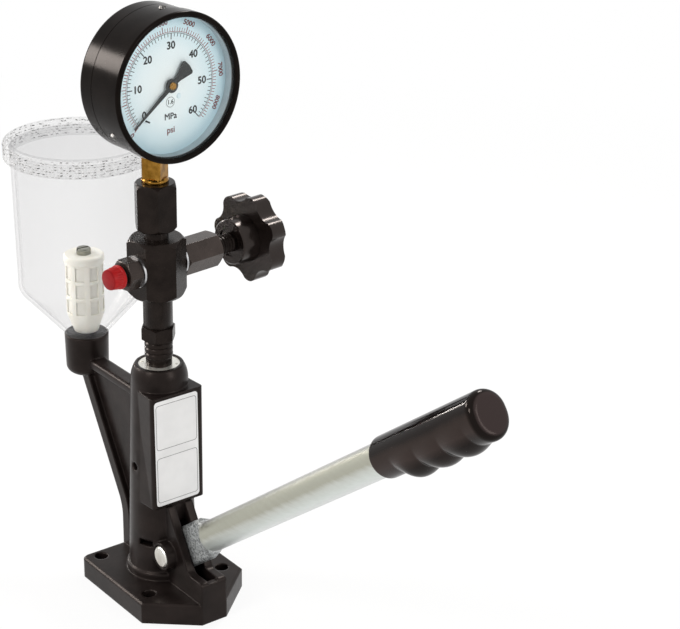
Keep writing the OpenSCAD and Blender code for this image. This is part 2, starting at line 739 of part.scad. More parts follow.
module cross_block() color([0.13, 0.12, 0.12]) {
    passage_z = union_top_z - spigot_l + 0.5;
    neck_r = 8.5;
    top() difference() {
        union() {
            translate([0, 0, block_z]) turned_hex(block_af, block_h, 3.4);
            translate([0, 0, stem_z]) cylinder(r = stem_r, h = stem_h + 1);
            translate([0, 0, passage_z]) cylinder(r = spigot_r, h = stem_z - passage_z + 1);
            translate([0, 0, block_top_z - 1]) cylinder(r = neck_r, h = neck_h + 1);
            translate([0, 0, adaptor_z - 1]) cylinder(r = spigot_r, h = spigot_l);
        }
        translate([0, 0, passage_z - 1]) cylinder(r = bore_r, h = adaptor_z - passage_z + spigot_l + 2);
        translate([0, 0, valve_z]) rotate([90, 0, 0]) cylinder(r = bore_r, h = block_af, center = true);
        translate([0, face_y - socket_l, valve_z]) rotate([-90, 0, 0])
            cylinder(r = bonnet_thread_r + fit_gap, h = socket_l + 1);
        translate([0, -face_y + socket_l, valve_z]) rotate([90, 0, 0])
            cylinder(r = outlet_thread_r + fit_gap, h = socket_l + 1);
    }
}

module outlet_washer() color("lightgray") {
    on_outlet() translate([0, 0, face_y]) ring(washer_r, outlet_thread_r + fit_gap, washer_t);
}

module outlet_adaptor() color([0.16, 0.14, 0.13]) {
    hex_y = face_y + washer_t;
    on_outlet() difference() {
        union() {
            translate([0, 0, face_y - socket_l + 0.5]) cylinder(r = outlet_thread_r, h = socket_l + washer_t);
            translate([0, 0, hex_y]) turned_hex(outlet_af, outlet_hex_l, 1.2);
            translate([0, 0, hex_y]) cylinder(r = outlet_stub_r, h = outlet_hex_l + outlet_stub_l - 1);
            translate([0, 0, hex_y + outlet_hex_l + outlet_stub_l - 1]) cylinder(r1 = outlet_stub_r, r2 = outlet_stub_r - 1, h = 1);
        }
        cylinder(r = bore_r, h = hex_y + outlet_hex_l + outlet_stub_l);
        translate([0, 0, hex_y + outlet_hex_l + outlet_stub_l - 3]) cylinder(r1 = bore_r, r2 = bore_r + 2, h = 3.01);
    }
}

module dust_cap() color([0.69, 0.12, 0.15]) {
    cap_y = face_y + washer_t + outlet_hex_l + cap_gap;
    r = cap_d / 2;
    on_outlet() translate([0, 0, cap_y]) difference() {
        rotate_extrude() polygon([[0, 0], [r, 0], [r, 2], [r - 0.6, 3], [r - 0.7, cap_l / 2], [r - 0.1, cap_l - 1.2],
            [r - 1.2, cap_l], [0, cap_l]]);
        translate([0, 0, -1]) cylinder(r = outlet_stub_r + fit_gap, h = outlet_stub_l + 1 - cap_gap + 0.2);
    }
}

module bonnet_washer() color("lightgray") {
    on_valve() translate([0, 0, face_y]) ring(washer_r, bonnet_thread_r + fit_gap, washer_t);
}

module valve_bonnet() color([0.16, 0.14, 0.13]) {
    hex_y = face_y + washer_t;
    on_valve() difference() {
        union() {
            translate([0, 0, face_y - socket_l + 0.5]) cylinder(r = bonnet_thread_r, h = socket_l + washer_t);
            translate([0, 0, hex_y]) turned_hex(bonnet_af, bonnet_end - hex_y);
        }
        cylinder(r = needle_r + fit_gap, h = spindle_y);
        translate([0, 0, spindle_y - 4]) cylinder(r = spindle_r + fit_gap, h = bonnet_end);
        translate([0, 0, gland_y]) cylinder(r = gland_r + fit_gap, h = 20);
    }
}

module gland_packing() color("black") {
    on_valve() translate([0, 0, gland_y]) ring(gland_r, spindle_r + fit_gap, packing_l);
}

module gland_ring() color([0.16, 0.14, 0.13]) {
    on_valve() translate([0, 0, gland_y + packing_l]) ring(gland_r, spindle_r + fit_gap, 2);
}

module valve_needle() color("gainsboro") {
    tip_l = 4;
    on_valve() {
        translate([0, 0, needle_seat_y - 1.3]) cylinder(r1 = 0.8, r2 = needle_r, h = tip_l + 1.3);
        translate([0, 0, needle_seat_y + tip_l]) cylinder(r = needle_r, h = spindle_y - running_gap - needle_seat_y - tip_l);
    }
}

// The thread between the bonnet and the knob is a row of ridges
module valve_spindle() color([0.16, 0.14, 0.13]) {
    thread_y = bonnet_end + running_gap;
    thread_l = hub_y + hub_dish - thread_y;
    ridges = 6;
    depth = 0.8;
    on_valve() {
        translate([0, 0, spindle_y]) cylinder(r = spindle_r, h = insert_y + insert_l - spindle_y - 1);
        rotate_extrude() polygon(concat([[0, thread_y]], [for (i = [0 : ridges - 1], p = [[1, 0], [0, 0.3], [0, 0.6], [1, 0.9]])
            [spindle_thread_r - depth * p[0], thread_y + thread_l * (i + p[1]) / ridges]],
            [[spindle_thread_r - depth, thread_y + thread_l], [0, thread_y + thread_l]]));
    }
}

// Lobes and hollows are arcs that meet in a slight crease
module star_outline() {
    lobe_r = knob_r * 0.25;
    lobe_at = knob_r - lobe_r;
    valley = knob_r * 0.833;
    half = 180 / knob_lobes;
    crease = 0.25;
    hollow_r = (lobe_at * lobe_at + valley * valley - 2 * lobe_at * valley * cos(half) - lobe_r * lobe_r)
        / (2 * (lobe_r - valley + lobe_at * cos(half)));
    hollow_at = valley + hollow_r;
    difference() {
        union() {
            polygon([for (i = [0 : knob_lobes - 1], s = [0, 1])
                let (a = 2 * half * i + half * s, d = s == 0 ? lobe_at : hollow_at) [d * cos(a), d * sin(a)]]);
            for (i = [0 : knob_lobes - 1]) rotate(2 * half * i) translate([lobe_at, 0]) circle(r = lobe_r);
        }
        for (i = [0 : knob_lobes - 1]) rotate(2 * half * i + half) translate([hollow_at, 0]) circle(r = hollow_r + crease);
    }
}

module star_knob() color([0.06, 0.05, 0.05]) {
    rim = knob_r + 0.5;
    dome = 3;
    flare = 1.1;
    on_valve() difference() {
        union() {
            intersection() {
                translate([0, 0, knob_y]) linear_extrude(knob_t + dome) rotate(27.6) star_outline();
                translate([0, 0, knob_y]) rotate_extrude() polygon([[0, 0], [rim, 0], [rim, knob_t - 2],
                    [rim - 0.8, knob_t - 0.8], [rim - 2, knob_t], [knob_hub_r, knob_t + dome], [0, knob_t + dome]]);
            }
            rotate_extrude() polygon([[0, hub_y], [knob_hub_r - 0.8, hub_y], [knob_hub_r, hub_y + 0.8],
                [knob_hub_r + flare, knob_y - 0.6], [knob_hub_r + flare, knob_y + 1], [0, knob_y + 1]]);
        }
        // Dished end, bore for the spindle, and the pocket round the moulded-in insert
        translate([0, 0, hub_y - 1]) cylinder(r = spindle_thread_r + 3.3, h = 1 + hub_dish);
        translate([0, 0, hub_y - 1]) cylinder(r = spindle_r + fit_gap, h = insert_y - hub_y + 2);
        translate([0, 0, insert_y]) cylinder(r = insert_r + fit_gap, h = insert_l);
    }
}

module knob_insert() color("goldenrod") {
    on_valve() translate([0, 0, insert_y]) ring(insert_r, spindle_r + fit_gap, insert_l);
}

module gauge_adaptor() color([0.14, 0.13, 0.12]) {
    top() difference() {
        translate([0, 0, adaptor_z]) rotate([0, 0, 27.5]) turned_hex(adaptor_af, adaptor_h, 3);
        translate([0, 0, adaptor_z - 1]) cylinder(r = spigot_r + fit_gap, h = spigot_l + 1);
        translate([0, 0, adaptor_z]) cylinder(r = bore_r, h = adaptor_h);
        translate([0, 0, adaptor_top_z - 18.5]) cylinder(r = outlet_thread_r + fit_gap, h = 20);
    }
}

module gauge_seal() color("peru") {
    top() translate([0, 0, adaptor_top_z - 18.5]) ring(outlet_thread_r, bore_r, 1.5);
}

// Gauge

module gauge_socket() color([0.72, 0.53, 0.20]) {
    inside = [plate_front_x - plate_back_x + plate_sheet + 2, block_in_w];
    gauge_top() difference() {
        union() {
            translate([0, 0, adaptor_top_z - 17]) cylinder(r = outlet_thread_r, h = 18);
            translate([0, 0, adaptor_top_z]) rotate_extrude() polygon([[0, 0], [9.4, 0], [9.4, collar_h - 1.4],
                [8.2, collar_h], [0, collar_h]]);
            translate([0, 0, adaptor_top_z + collar_h - 1]) rotate([0, 0, 27.7]) intersection() {
                translate([-shank_w / 2, -shank_w / 2, 0]) cube([shank_w, shank_w, shank_h + case_wall + 3]);
                cylinder(r = shank_w * 0.66, h = shank_h + case_wall + 3);
            }
            translate([plate_back_x - 1, -inside[1] / 2, gauge_z - case_r + case_wall + 1.5])
                cube([inside[0], inside[1], case_r - case_wall - 1.5 + block_in_top]);
        }
        translate([0, 0, adaptor_top_z - 18]) cylinder(r = bore_r, h = shank_h + 30);
    }
}

module gauge_case() color([0.1, 0.09, 0.09]) {
    depth = case_back + case_front;
    on_gauge(-case_back) difference() {
        rotate_extrude() polygon(concat([[0, 0]], arc([case_r - 3, 3], 3, -90, 0),
            [[case_r, depth * 0.36], [case_r - 0.35, depth * 0.36 + 0.35], [case_r, depth * 0.36 + 0.7],
            [case_r, depth], [0, depth]]));
        translate([0, 0, case_wall]) cylinder(r = case_r - case_wall, h = depth);
        translate([0, -case_r, case_back]) rotate([90, 0, 0])
            cylinder(r = shank_w * 0.66 + fit_gap, h = 3 * case_wall + 8, center = true);
        for (a = [90, 215, 325]) rotate([0, 0, a]) translate([case_r, 0, case_back + 12.5]) rotate([0, 90, 0])
            cylinder(r = 1.5 + fit_gap, h = 12, center = true);
    }
}

module case_screws() color("silver") {
    on_gauge(12.5) for (a = [90, 215, 325]) rotate([0, 0, a]) translate([case_r, 0, 0]) rotate([0, 90, 0]) {
        translate([0, 0, -case_wall]) cylinder(r = 1.5, h = case_wall + 0.5);
        difference() {
            translate([0, 0, 0.05]) cylinder(r1 = 2.7, r2 = 2, h = 1.6);
            translate([-3, -0.3, 1]) cube([6, 0.6, 2]);
        }
    }
}

module gauge_bezel() color([0.1, 0.09, 0.09]) {
    on_gauge(bezel_front - bezel_l) rotate_extrude() polygon(concat(
        [[case_r + fit_gap, 0], [bezel_r - 0.3, 0], [bezel_r, 0.4]], arc([bezel_r - 1.5, bezel_l - 1.5], 1.5, 0, 90, 4),
        [[bezel_r - bezel_rim + 1, bezel_l], [bezel_r - bezel_rim, bezel_l - 1], [bezel_r - bezel_rim, bezel_l - lip_t],
        [case_r + fit_gap, bezel_l - lip_t]]));
}

module gauge_lens() color([0.9, 0.95, 1, 0.3]) {
    on_gauge(lens_x) cylinder(r = case_r - running_gap, h = lens_t);
}

module lens_gasket() color("black") {
    on_gauge(case_front) ring(case_r - running_gap, min(bezel_r - bezel_rim + 0.2, dial_r), gasket_t);
}

module dial_ring() color([0.8, 0.87, 0.9]) {
    on_gauge(dial_x + dial_t) ring(dial_r, min(bezel_r - bezel_rim - 0.2, dial_r - 0.8), case_front - dial_x - dial_t);
}

module gauge_dial() color([0.87, 0.94, 0.96]) {
    on_gauge(dial_x) difference() {
        cylinder(r = dial_r, h = dial_t);
        translate([0, 0, -1]) cylinder(r = 2.5, h = 3);
        for (s = [-1, 1]) translate([s * 7, -8.5, -1]) cylinder(r = 1 + fit_gap, h = 3);
        rotate([0, 0, zero_angle + pin_lead]) translate([29, 0, -1]) cylinder(r = 0.6 + fit_gap, h = 3);
    }
}

module dial_screws() color("gainsboro") {
    on_gauge(dial_x + dial_t) for (s = [-1, 1]) translate([s * 7, -8.5, 0]) {
        cylinder(r1 = 1.9, r2 = 1.4, h = 0.7);
        translate([0, 0, -dial_t - 2]) cylinder(r = 1, h = dial_t + 2.2);
    }
}

module zero_pin() color("black") {
    on_gauge(dial_x) rotate([0, 0, zero_angle + pin_lead]) translate([29, 0, 0]) cylinder(r = 0.6, h = 4.5);
}

module gauge_pointer() color("black") {
    tail_l = 18.5;
    tail_w = 5.8;
    on_gauge(pointer_x) linear_extrude(pointer_t) rotate(zero_angle) difference() {
        union() {
            circle(r = 4.8);
            polygon([[pointer_l, -0.45], [pointer_l, 0.45], [0, 1.6], [-tail_l * 0.35, 2.2], [-tail_l + 2, tail_w],
                [-tail_l + 0.6, tail_w - 1], [-tail_l, 0], [-tail_l + 0.6, 1 - tail_w], [-tail_l + 2, -tail_w],
                [-tail_l * 0.35, -2.2], [0, -1.6]]);
        }
        circle(r = 1 + fit_gap);
    }
}

module pointer_hub() color([0.72, 0.53, 0.20]) {
    on_gauge(pointer_x + pointer_t) difference() {
        rotate_extrude() polygon([[0, 0], [2.7, 0], [2.7, 0.9], [2.1, 1.6], [0, 1.6]]);
        translate([0, 0, -1]) cylinder(r = 1 + fit_gap, h = 2);
    }
}

// Straight-flanked teeth on a wheel of a given pitch radius, from tooth first to tooth last
module gear_teeth(pitch_r, teeth, first, last) {
    add = gear_module * 0.7;
    ded = gear_module * 1.1;
    half_t = gear_module * PI * 0.18;
    flank = tan(20);
    for (i = [first : last]) rotate(360 / teeth * i) polygon([[pitch_r - ded - 0.2, -half_t - ded * flank],
        [pitch_r + add, -half_t + add * flank], [pitch_r + add, half_t - add * flank],
        [pitch_r - ded - 0.2, half_t + ded * flank]]);
}

module pinion_arbor() color("silver") {
    root_r = pinion_r - gear_module * 1.1;
    arbor_x = plate_back_x - 0.3;
    on_gauge() {
        translate([0, 0, arbor_x]) cylinder(r = 1, h = pointer_x + pointer_t + 0.9 - arbor_x);
        translate([0, 0, sector_x - 1]) linear_extrude(sector_t + 2) rotate(pivot_dir + 180) {
            circle(r = root_r);
            gear_teeth(pinion_r, pinion_teeth, 0, pinion_teeth - 1);
        }
    }
}

module sector_gear() color([0.75, 0.6, 0.3]) {
    root_r = sector_r - gear_module * 1.1;
    tooth = 360 / sector_teeth;
    spare = 1;
    last = ceil(sector_sweep / tooth) + spare;
    low = pivot_dir - (last + 0.5) * tooth;
    high = pivot_dir + (spare + 0.5) * tooth;
    on_gauge() translate([sector_pivot[0], sector_pivot[1], 0]) {
        translate([0, 0, plate_back_x - 0.2]) cylinder(r = 1.2, h = plate_front_x - plate_back_x + plate_sheet + 0.4);
        translate([0, 0, sector_x]) linear_extrude(sector_t) difference() {
            union() {
                circle(r = 3);
                polygon(concat([[0, 0]], arc([0, 0], root_r, low, high, 10)));
                rotate(pivot_dir + tooth / 2) gear_teeth(sector_r, sector_teeth, -last, spare - 1);
            }
            translate(link_pin - sector_pivot) circle(r = 0.8 + fit_gap);
            for (a = [0.35, 0.75]) rotate(low + (high - low) * a) translate([root_r * 0.72, 0]) circle(r = 1.8);
        }
    }
}

module tip_link() color([0.75, 0.6, 0.3]) {
    span = tip_point - link_pin;
    on_gauge() {
        translate([link_pin[0], link_pin[1], sector_x]) cylinder(r = 0.8, h = sector_t + running_gap + 0.5);
        translate([link_pin[0], link_pin[1], link_x]) rotate([0, 0, atan2(span[1], span[0])]) {
            cylinder(r = 1.6, h = link_t);
            translate([norm(span), 0, 0]) cylinder(r = 1.6, h = link_t);
            translate([0, -1, 0]) cube([norm(span), 2, link_t]);
        }
    }
}

module movement_plate() {
    bottom = block_in_top;
    translate([-14, bottom]) square([22, 6 - bottom]);
    translate([-3, 6]) circle(r = 9);
}

module movement_frame() color([0.75, 0.6, 0.3]) {
    on_gauge() difference() {
        union() {
            for (x = [plate_back_x, plate_front_x]) translate([0, 0, x]) linear_extrude(plate_sheet) movement_plate();
            for (p = [[5, -25], [-11.5, 5]]) translate([p[0], p[1], plate_back_x]) cylinder(r = 1.6, h = plate_front_x - plate_back_x + 0.5);
            for (s = [-1, 1]) translate([s * 7, -8.5, plate_front_x]) cylinder(r = 2.2, h = dial_x - plate_front_x);
        }
        cylinder(r = 1 + fit_gap, h = 2 * dial_x);
        translate([sector_pivot[0], sector_pivot[1], 0]) cylinder(r = 1.2 + fit_gap, h = 2 * dial_x);
        for (s = [-1, 1]) translate([s * 7, -8.5, dial_x - 2.2]) cylinder(r = 1 + fit_gap, h = 5);
    }
}

module bourdon_tube() color([0.72, 0.53, 0.20]) {
    mid_x = (plate_back_x + plate_front_x) / 2 - 1.5;
    inner_r = bourdon_r - bourdon_t / 2;
    start = -acos((block_in_w / 2 + fit_gap) / inner_r);
    wall = 0.8;
    on_gauge(mid_x) {
        rotate([0, 0, start]) rotate_extrude(angle = bourdon_end - start) translate([bourdon_r, 0]) difference() {
            square([bourdon_t, bourdon_w], center = true);
            square([bourdon_t - 2 * wall, bourdon_w - 2 * wall], center = true);
        }
        translate([0, 0, link_x + link_t + running_gap - mid_x]) rotate([0, 0, bourdon_end - 4])
            rotate_extrude(angle = 32) translate([inner_r - 1.5, 0]) square([bourdon_t, 1.2]);
    }
}

// Fuel tank

module fuel_tank() color([0.93, 0.94, 0.95, 0.4]) {
    cone_r = tank_r - tank_draft;
    blend = 8;
    lean = atan(tank_slope);
    steep = sqrt(1 + tank_slope * tank_slope);
    centre = [cone_r - blend, tank_z + tank_neck + tank_slope * (cone_r - blend - tank_low_r) + blend * steep];
    floor_r = tank_low_r + (tank_floor_t - tank_neck - tank_wall * steep) / tank_slope;
    translate([-tank_x, 0, 0])
        rotate_extrude() polygon(concat([[bolt_r + 0.2, tank_z], [tank_low_r, tank_z], [tank_low_r, tank_z + tank_neck]],
            arc(centre, blend, lean - 90, 0), [[tank_r, tank_top_z], [tank_r - tank_wall, tank_top_z]],
            arc(centre, blend - tank_wall, 0, lean - 90),
            [[floor_r, tank_z + tank_floor_t], [bolt_r + 0.2, tank_z + tank_floor_t]]));
}

module tank_gasket() color("black") {
    translate([-tank_x, 0, boss_top_z - tank_seat]) ring(tank_low_r, bolt_r + 0.2, tank_gasket_t);
}

module tank_bolt() color([0.6, 0.6, 0.55]) {
    head_z = filter_z + filter_h;
    foot = boss_top_z - bolt_depth;
    translate([-tank_x, 0, 0]) difference() {
        union() {
            translate([0, 0, foot]) cylinder(r = bolt_r, h = head_z - foot + 1);
            rotate_extrude() polygon([[0, head_z], [bolt_head_r, head_z], [bolt_head_r, head_z + bolt_head_h - 0.8],
                [bolt_head_r - 0.8, head_z + bolt_head_h], [0, head_z + bolt_head_h]]);
        }
        translate([0, 0, foot - 1]) cylinder(r = 1.5, h = filter_z + filter_foot_h + 2 - foot);
        translate([0, 0, filter_z + filter_foot_h]) rotate([90, 0, 0]) cylinder(r = 1.5, h = 4 * bolt_r, center = true);
        translate([-0.8, -bolt_head_r - 1, head_z + bolt_head_h - 1.6]) cube([1.6, 2 * bolt_head_r + 2, 3]);
    }
}

module filter_cage() color([0.93, 0.92, 0.86]) {
    cap_r = filter_r + 0.9;
    foot_r = filter_r - 5;
    body_z = filter_z + filter_foot_h;
    cap_z = filter_z + filter_h - filter_cap_h;
    under_cap_z = cap_z + filter_cap_h - filter_cap_t;
    inner_r = filter_r - filter_wall;
    rows = 3;
    columns = 8;
    pitch = (cap_z - body_z) / rows;
    translate([-tank_x, 0, 0]) difference() {
        rotate_extrude() polygon([[bolt_r + 0.2, filter_z], [foot_r, filter_z], [filter_r, body_z],
            [filter_r, cap_z], [cap_r, cap_z + 0.6], [cap_r, cap_z + filter_cap_h - 1], [cap_r - 1, cap_z + filter_cap_h],
            [bolt_r + 0.2, cap_z + filter_cap_h], [bolt_r + 0.2, under_cap_z], [inner_r, under_cap_z],
            [inner_r, body_z], [bolt_r + 0.2, body_z]]);
        for (i = [0 : rows - 1], j = [0 : columns / 2 - 1]) rotate([0, 0, 360 / columns * j])
            translate([-filter_r - 1, -3.4, body_z + pitch * i + 1.4]) cube([2 * filter_r + 2, 6.8, pitch - 2.8]);
    }
}

module filter_mesh() color([0.85, 0.84, 0.78]) {
    sleeve_r = filter_r - filter_wall - fit_gap;
    translate([-tank_x, 0, filter_z + filter_foot_h])
        ring(sleeve_r, sleeve_r - 0.6, filter_h - filter_foot_h - filter_cap_t - fit_gap);
}

// Knurl: three rows of blocks round the skirt
module lid_row(r_out, r_in, h) {
    linear_extrude(h) polygon([for (i = [0 : lid_ribs - 1], p = [[0.14, 1], [0.3, 0], [0.7, 0], [0.86, 1]])
        let (a = 360 / lid_ribs * (i + p[0]), r = p[1] == 0 ? r_out : r_in) [r * cos(a), r * sin(a)]]);
}

module tank_lid() color([0.93, 0.94, 0.95, 0.4]) {
    root_r = lid_r - 1.2;
    bore = tank_r + 0.4;
    rows = 3;
    groove = 0.8;
    margin = 1.4;
    row_h = (lid_h - 2 * margin - (rows - 1) * groove) / rows;
    plate_z = lid_h - 2 - lid_top_t;
    translate([-tank_x, 0, lid_z]) difference() {
        union() {
            cylinder(r = root_r, h = lid_h);
            for (i = [0 : rows - 1]) translate([0, 0, margin + i * (row_h + groove)])
                lid_row(lid_r, root_r - 0.2, row_h);
        }
        translate([0, 0, -1]) cylinder(r = bore, h = plate_z + 1);
        translate([0, 0, plate_z + lid_top_t]) cylinder(r1 = lid_r - lid_rim_w - 0.6, r2 = lid_r - lid_rim_w, h = 2.01);
    }
}

pump_body();
barrel_screw();
pivot_pin();
pin_circlip();
lever_tube();
lever_grip();
tappet();
plunger();
spring_plate();
plunger_spring();
pump_barrel();
barrel_seal();
delivery_seat();
delivery_valve();
delivery_spring();
delivery_union();
ring_nut();
lock_nut();
cross_block();
outlet_washer();
outlet_adaptor();
dust_cap();
bonnet_washer();
valve_bonnet();
gland_packing();
gland_ring();
valve_needle();
valve_spindle();
star_knob();
knob_insert();
gauge_adaptor();
gauge_seal();
gauge_socket();
gauge_case();
case_screws();
gauge_bezel();
gauge_lens();
lens_gasket();
dial_ring();
gauge_dial();
dial_screws();
zero_pin();
gauge_pointer();
pointer_hub();
pinion_arbor();
sector_gear();
tip_link();
movement_frame();
bourdon_tube();
fuel_tank();
tank_gasket();
tank_bolt();
filter_cage();
filter_mesh();
tank_lid();
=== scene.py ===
"""Looks of the diesel injector tester: camera, materials, the pieces made here, floor and lamps."""
import json
import math

import bpy
from mathutils import Matrix, Vector


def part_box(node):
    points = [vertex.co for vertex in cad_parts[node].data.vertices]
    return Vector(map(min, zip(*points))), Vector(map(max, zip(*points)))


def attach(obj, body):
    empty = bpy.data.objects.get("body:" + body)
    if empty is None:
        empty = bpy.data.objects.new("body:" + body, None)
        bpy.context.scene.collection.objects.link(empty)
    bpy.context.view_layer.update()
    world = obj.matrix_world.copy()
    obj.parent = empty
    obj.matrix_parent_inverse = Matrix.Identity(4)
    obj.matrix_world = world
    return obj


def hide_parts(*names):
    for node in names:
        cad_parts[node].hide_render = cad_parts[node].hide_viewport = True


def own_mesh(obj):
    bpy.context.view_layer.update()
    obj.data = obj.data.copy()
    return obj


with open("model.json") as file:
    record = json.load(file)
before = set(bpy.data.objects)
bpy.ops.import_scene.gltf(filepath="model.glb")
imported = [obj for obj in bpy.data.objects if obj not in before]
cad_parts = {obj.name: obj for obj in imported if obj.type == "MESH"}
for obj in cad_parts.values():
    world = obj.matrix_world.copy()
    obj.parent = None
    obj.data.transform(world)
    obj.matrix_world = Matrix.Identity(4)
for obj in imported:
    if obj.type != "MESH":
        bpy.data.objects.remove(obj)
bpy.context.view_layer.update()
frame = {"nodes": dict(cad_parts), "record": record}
nodes = frame["nodes"]
scene = bpy.context.scene
scene.view_settings.view_transform = "Standard"

# Places and sizes in metres, as the part's source sets them
UP = Vector((0, 0, 1))
GAUGE_TURN = math.radians(4.2)
GAUGE_OUT = Vector((math.cos(GAUGE_TURN), math.sin(GAUGE_TURN), 0))
GAUGE_RIGHT = Vector((-math.sin(GAUGE_TURN), math.cos(GAUGE_TURN), 0))
GAUGE_CENTRE = UP * (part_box("gauge_bezel")[0].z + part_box("gauge_bezel")[1].z) / 2
TOP_TURN = math.radians(6.9)
OUTLET_OUT = Vector((math.sin(TOP_TURN), -math.cos(TOP_TURN), 0))
OUTLET_RIGHT = Vector((math.cos(TOP_TURN), math.sin(TOP_TURN), 0))
LEVER_PIVOT = Vector((0.025, 0, 0.039))
LEVER_ANGLE = math.radians(36.7)
TANK_X = -0.1005

# The cap, along the outlet
CAP_START = 0.0327
CAP_LENGTH = 0.010

# The grip, along the lever from its pivot
GRIP_START = 0.287
GRIP_LENGTH = 0.109
GRIP_RADIUS = 0.0137
GRIP_BORE = 0.0114
GRIP_LEAD = 0.019
GRIP_PITCH = 0.0255
GRIP_LOBES = 3
GRIP_BUMP = 0.0064
GRIP_NOTCH = 0.0033
GRIP_HEAD = 0.0035
GRIP_LIP = 0.0008
GRIP_EDGE = 0.005

# The painted dashes of the lid's knurl, standing for light bent by its grooves
LID_COLUMNS = 160
LID_LINES = 6
LID_MARGIN = 0.0014
LID_GROOVE = 0.0008

# The dial, with angles in degrees
DIAL_FACE = 0.0188
DIAL_RADIUS = 0.046
PRINT_RISE = 0.00004
ZERO_ANGLE = 222.3
DIAL_SWEEP = 270
FULL_SCALE = 60
PSI_PER_UNIT = 145.038
LINE_RADIUS = 0.0347
LINE_WIDTH = 0.00034
RED_RADIUS = LINE_RADIUS + 0.0009

# Tint of the gloss on black pieces
WARM = (1, 0.84, 0.77, 1)


# Camera

def make_camera():
    """The camera that was fitted to the photo."""
    yaw, pitch, roll = 0.906, 0.398, 0.019
    place = Vector((1.028495, -0.644679, 0.725625))
    back = Vector((math.sin(yaw) * math.cos(pitch), -math.cos(yaw) * math.cos(pitch), math.sin(pitch)))
    right = Vector((math.cos(yaw), math.sin(yaw), 0))
    up = back.cross(right)
    across = right * math.cos(roll) + up * math.sin(roll)
    upright = up * math.cos(roll) - right * math.sin(roll)
    turn = Matrix((across, upright, back)).transposed().to_4x4()
    data = bpy.data.cameras.new("camera")
    data.sensor_fit = "HORIZONTAL"
    data.sensor_width = 36
    data.lens = 99.33
    data.clip_start = 0.05
    data.clip_end = 20
    camera = bpy.data.objects.new("camera", data)
    camera.matrix_world = Matrix.Translation(place) @ turn
    scene.collection.objects.link(camera)
    scene.camera = camera


# Node helpers

class Tree:
    """A node tree, with short calls for the nodes that recur."""

    def __init__(self, tree):
        self.tree = tree

    def node(self, kind, **values):
        made = self.tree.nodes.new("ShaderNode" + kind)
        for key, value in values.items():
            setattr(made, key, value)
        return made

    def feed(self, socket, value):
        """Set a socket's value, or link it to another node's output."""
        if isinstance(value, bpy.types.NodeSocket):
            self.tree.links.new(value, socket)
        else:
            socket.default_value = value

    def fill(self, made, **values):
        """Feed a node's sockets by name, with an underscore for each space."""
        for key, value in values.items():
            self.feed(made.inputs[key.replace("_", " ")], value)
        return made

    def math(self, operation, *values):
        made = self.node("Math", operation=operation)
        for socket, value in zip(made.inputs, values):
            self.feed(socket, value)
        return made.outputs["Value"]

    def span(self, source, low, high, start=0.3, end=0.7, shape="LINEAR"):
        """The source's stretch from start to end, spread from low to high."""
        made = self.node("MapRange", interpolation_type=shape)
        self.fill(made, Value=source, From_Min=start, From_Max=end, To_Min=low, To_Max=high)
        return made.outputs["Result"]

    def shader_mix(self, share, first, second):
        made = self.fill(self.node("MixShader"), Fac=share)
        self.feed(made.inputs[1], first)
        self.feed(made.inputs[2], second)
        return made.outputs["Shader"]

    def seen_share(self):
        """1 for rays that see the background, straight, mirrored or through glass."""
        path = self.node("LightPath").outputs
        open_rays = self.math("MAXIMUM", path["Is Camera Ray"], path["Is Glossy Ray"])
        return self.math("MAXIMUM", open_rays, path["Is Transmission Ray"])


class Shader(Tree):
    """A material with its main shader, and the textures that feed it."""

    def __init__(self, name):
        self.mat = bpy.data.materials.new(name)
        self.mat.use_nodes = True
        super().__init__(self.mat.node_tree)
        self.bsdf = self.tree.nodes["Principled BSDF"]
        self.coords = self.node("TexCoord").outputs["Object"]

    def mapped(self, scale=(1, 1, 1), rotation=(0, 0, 0), location=(0, 0, 0)):
        made = self.node("Mapping", vector_type="POINT")
        self.fill(made, Vector=self.coords, Scale=scale, Rotation=rotation, Location=location)
        return made.outputs["Vector"]

    def split(self, vector):
        return self.fill(self.node("SeparateXYZ"), Vector=vector).outputs

    def noise(self, scale, detail=2.0, roughness=0.5, vector=None):
        made = self.node("TexNoise")
        self.fill(made, Scale=scale, Detail=detail, Roughness=roughness, Vector=vector or self.coords)
        return made.outputs["Fac"]

    def ramp(self, source, stops):
        made = self.fill(self.node("ValToRGB"), Fac=source)
        while len(made.color_ramp.elements) < len(stops):
            made.color_ramp.elements.new(0.5)
        for element, (place, colour) in zip(made.color_ramp.elements, stops):
            element.position = place
            element.color = (*colour, 1)
        return made.outputs["Color"]

    def mixed(self, dark, light, source, start=0.35, end=0.65):
        return self.ramp(source, [(start, dark), (end, light)])

    def mix(self, share, first, second, kind="RGBA"):
        made = self.node("Mix", data_type=kind)
        return self.fill(made, Factor=share, A=first, B=second).outputs["Result"]

    def reach(self, first, second):
        """Distance from the axis that the two coordinates are measured from."""
        square = self.math("MULTIPLY", first, first)
        return self.math("SQRT", self.math("MULTIPLY_ADD", second, second, square))

    def lean(self, blend, stops):
        """A clear wall's density, by how far it turns away from view."""
        weight = self.fill(self.node("LayerWeight"), Blend=blend)
        return self.ramp(weight.outputs["Facing"], [(place, (grey,) * 3) for place, grey in stops])

    def bump(self, height, distance, strength=1.0, below=None):
        made = self.fill(self.node("Bump"), Height=height, Distance=distance, Strength=strength)
        if below:
            self.fill(made, Normal=below)
        return made.outputs["Normal"]

    def lever_places(self):
        """Distance along the lever from its pivot, and height above its axis."""
        c, s = math.cos(LEVER_ANGLE), math.sin(LEVER_ANGLE)
        start = (-LEVER_PIVOT.x * c - LEVER_PIVOT.z * s, 0, LEVER_PIVOT.x * s - LEVER_PIVOT.z * c)
        places = self.split(self.mapped(rotation=(0, LEVER_ANGLE, 0), location=start))
        return places["X"], places["Z"]

    def set(self, **values):
        self.fill(self.bsdf, **values)
        return self.mat


# Materials

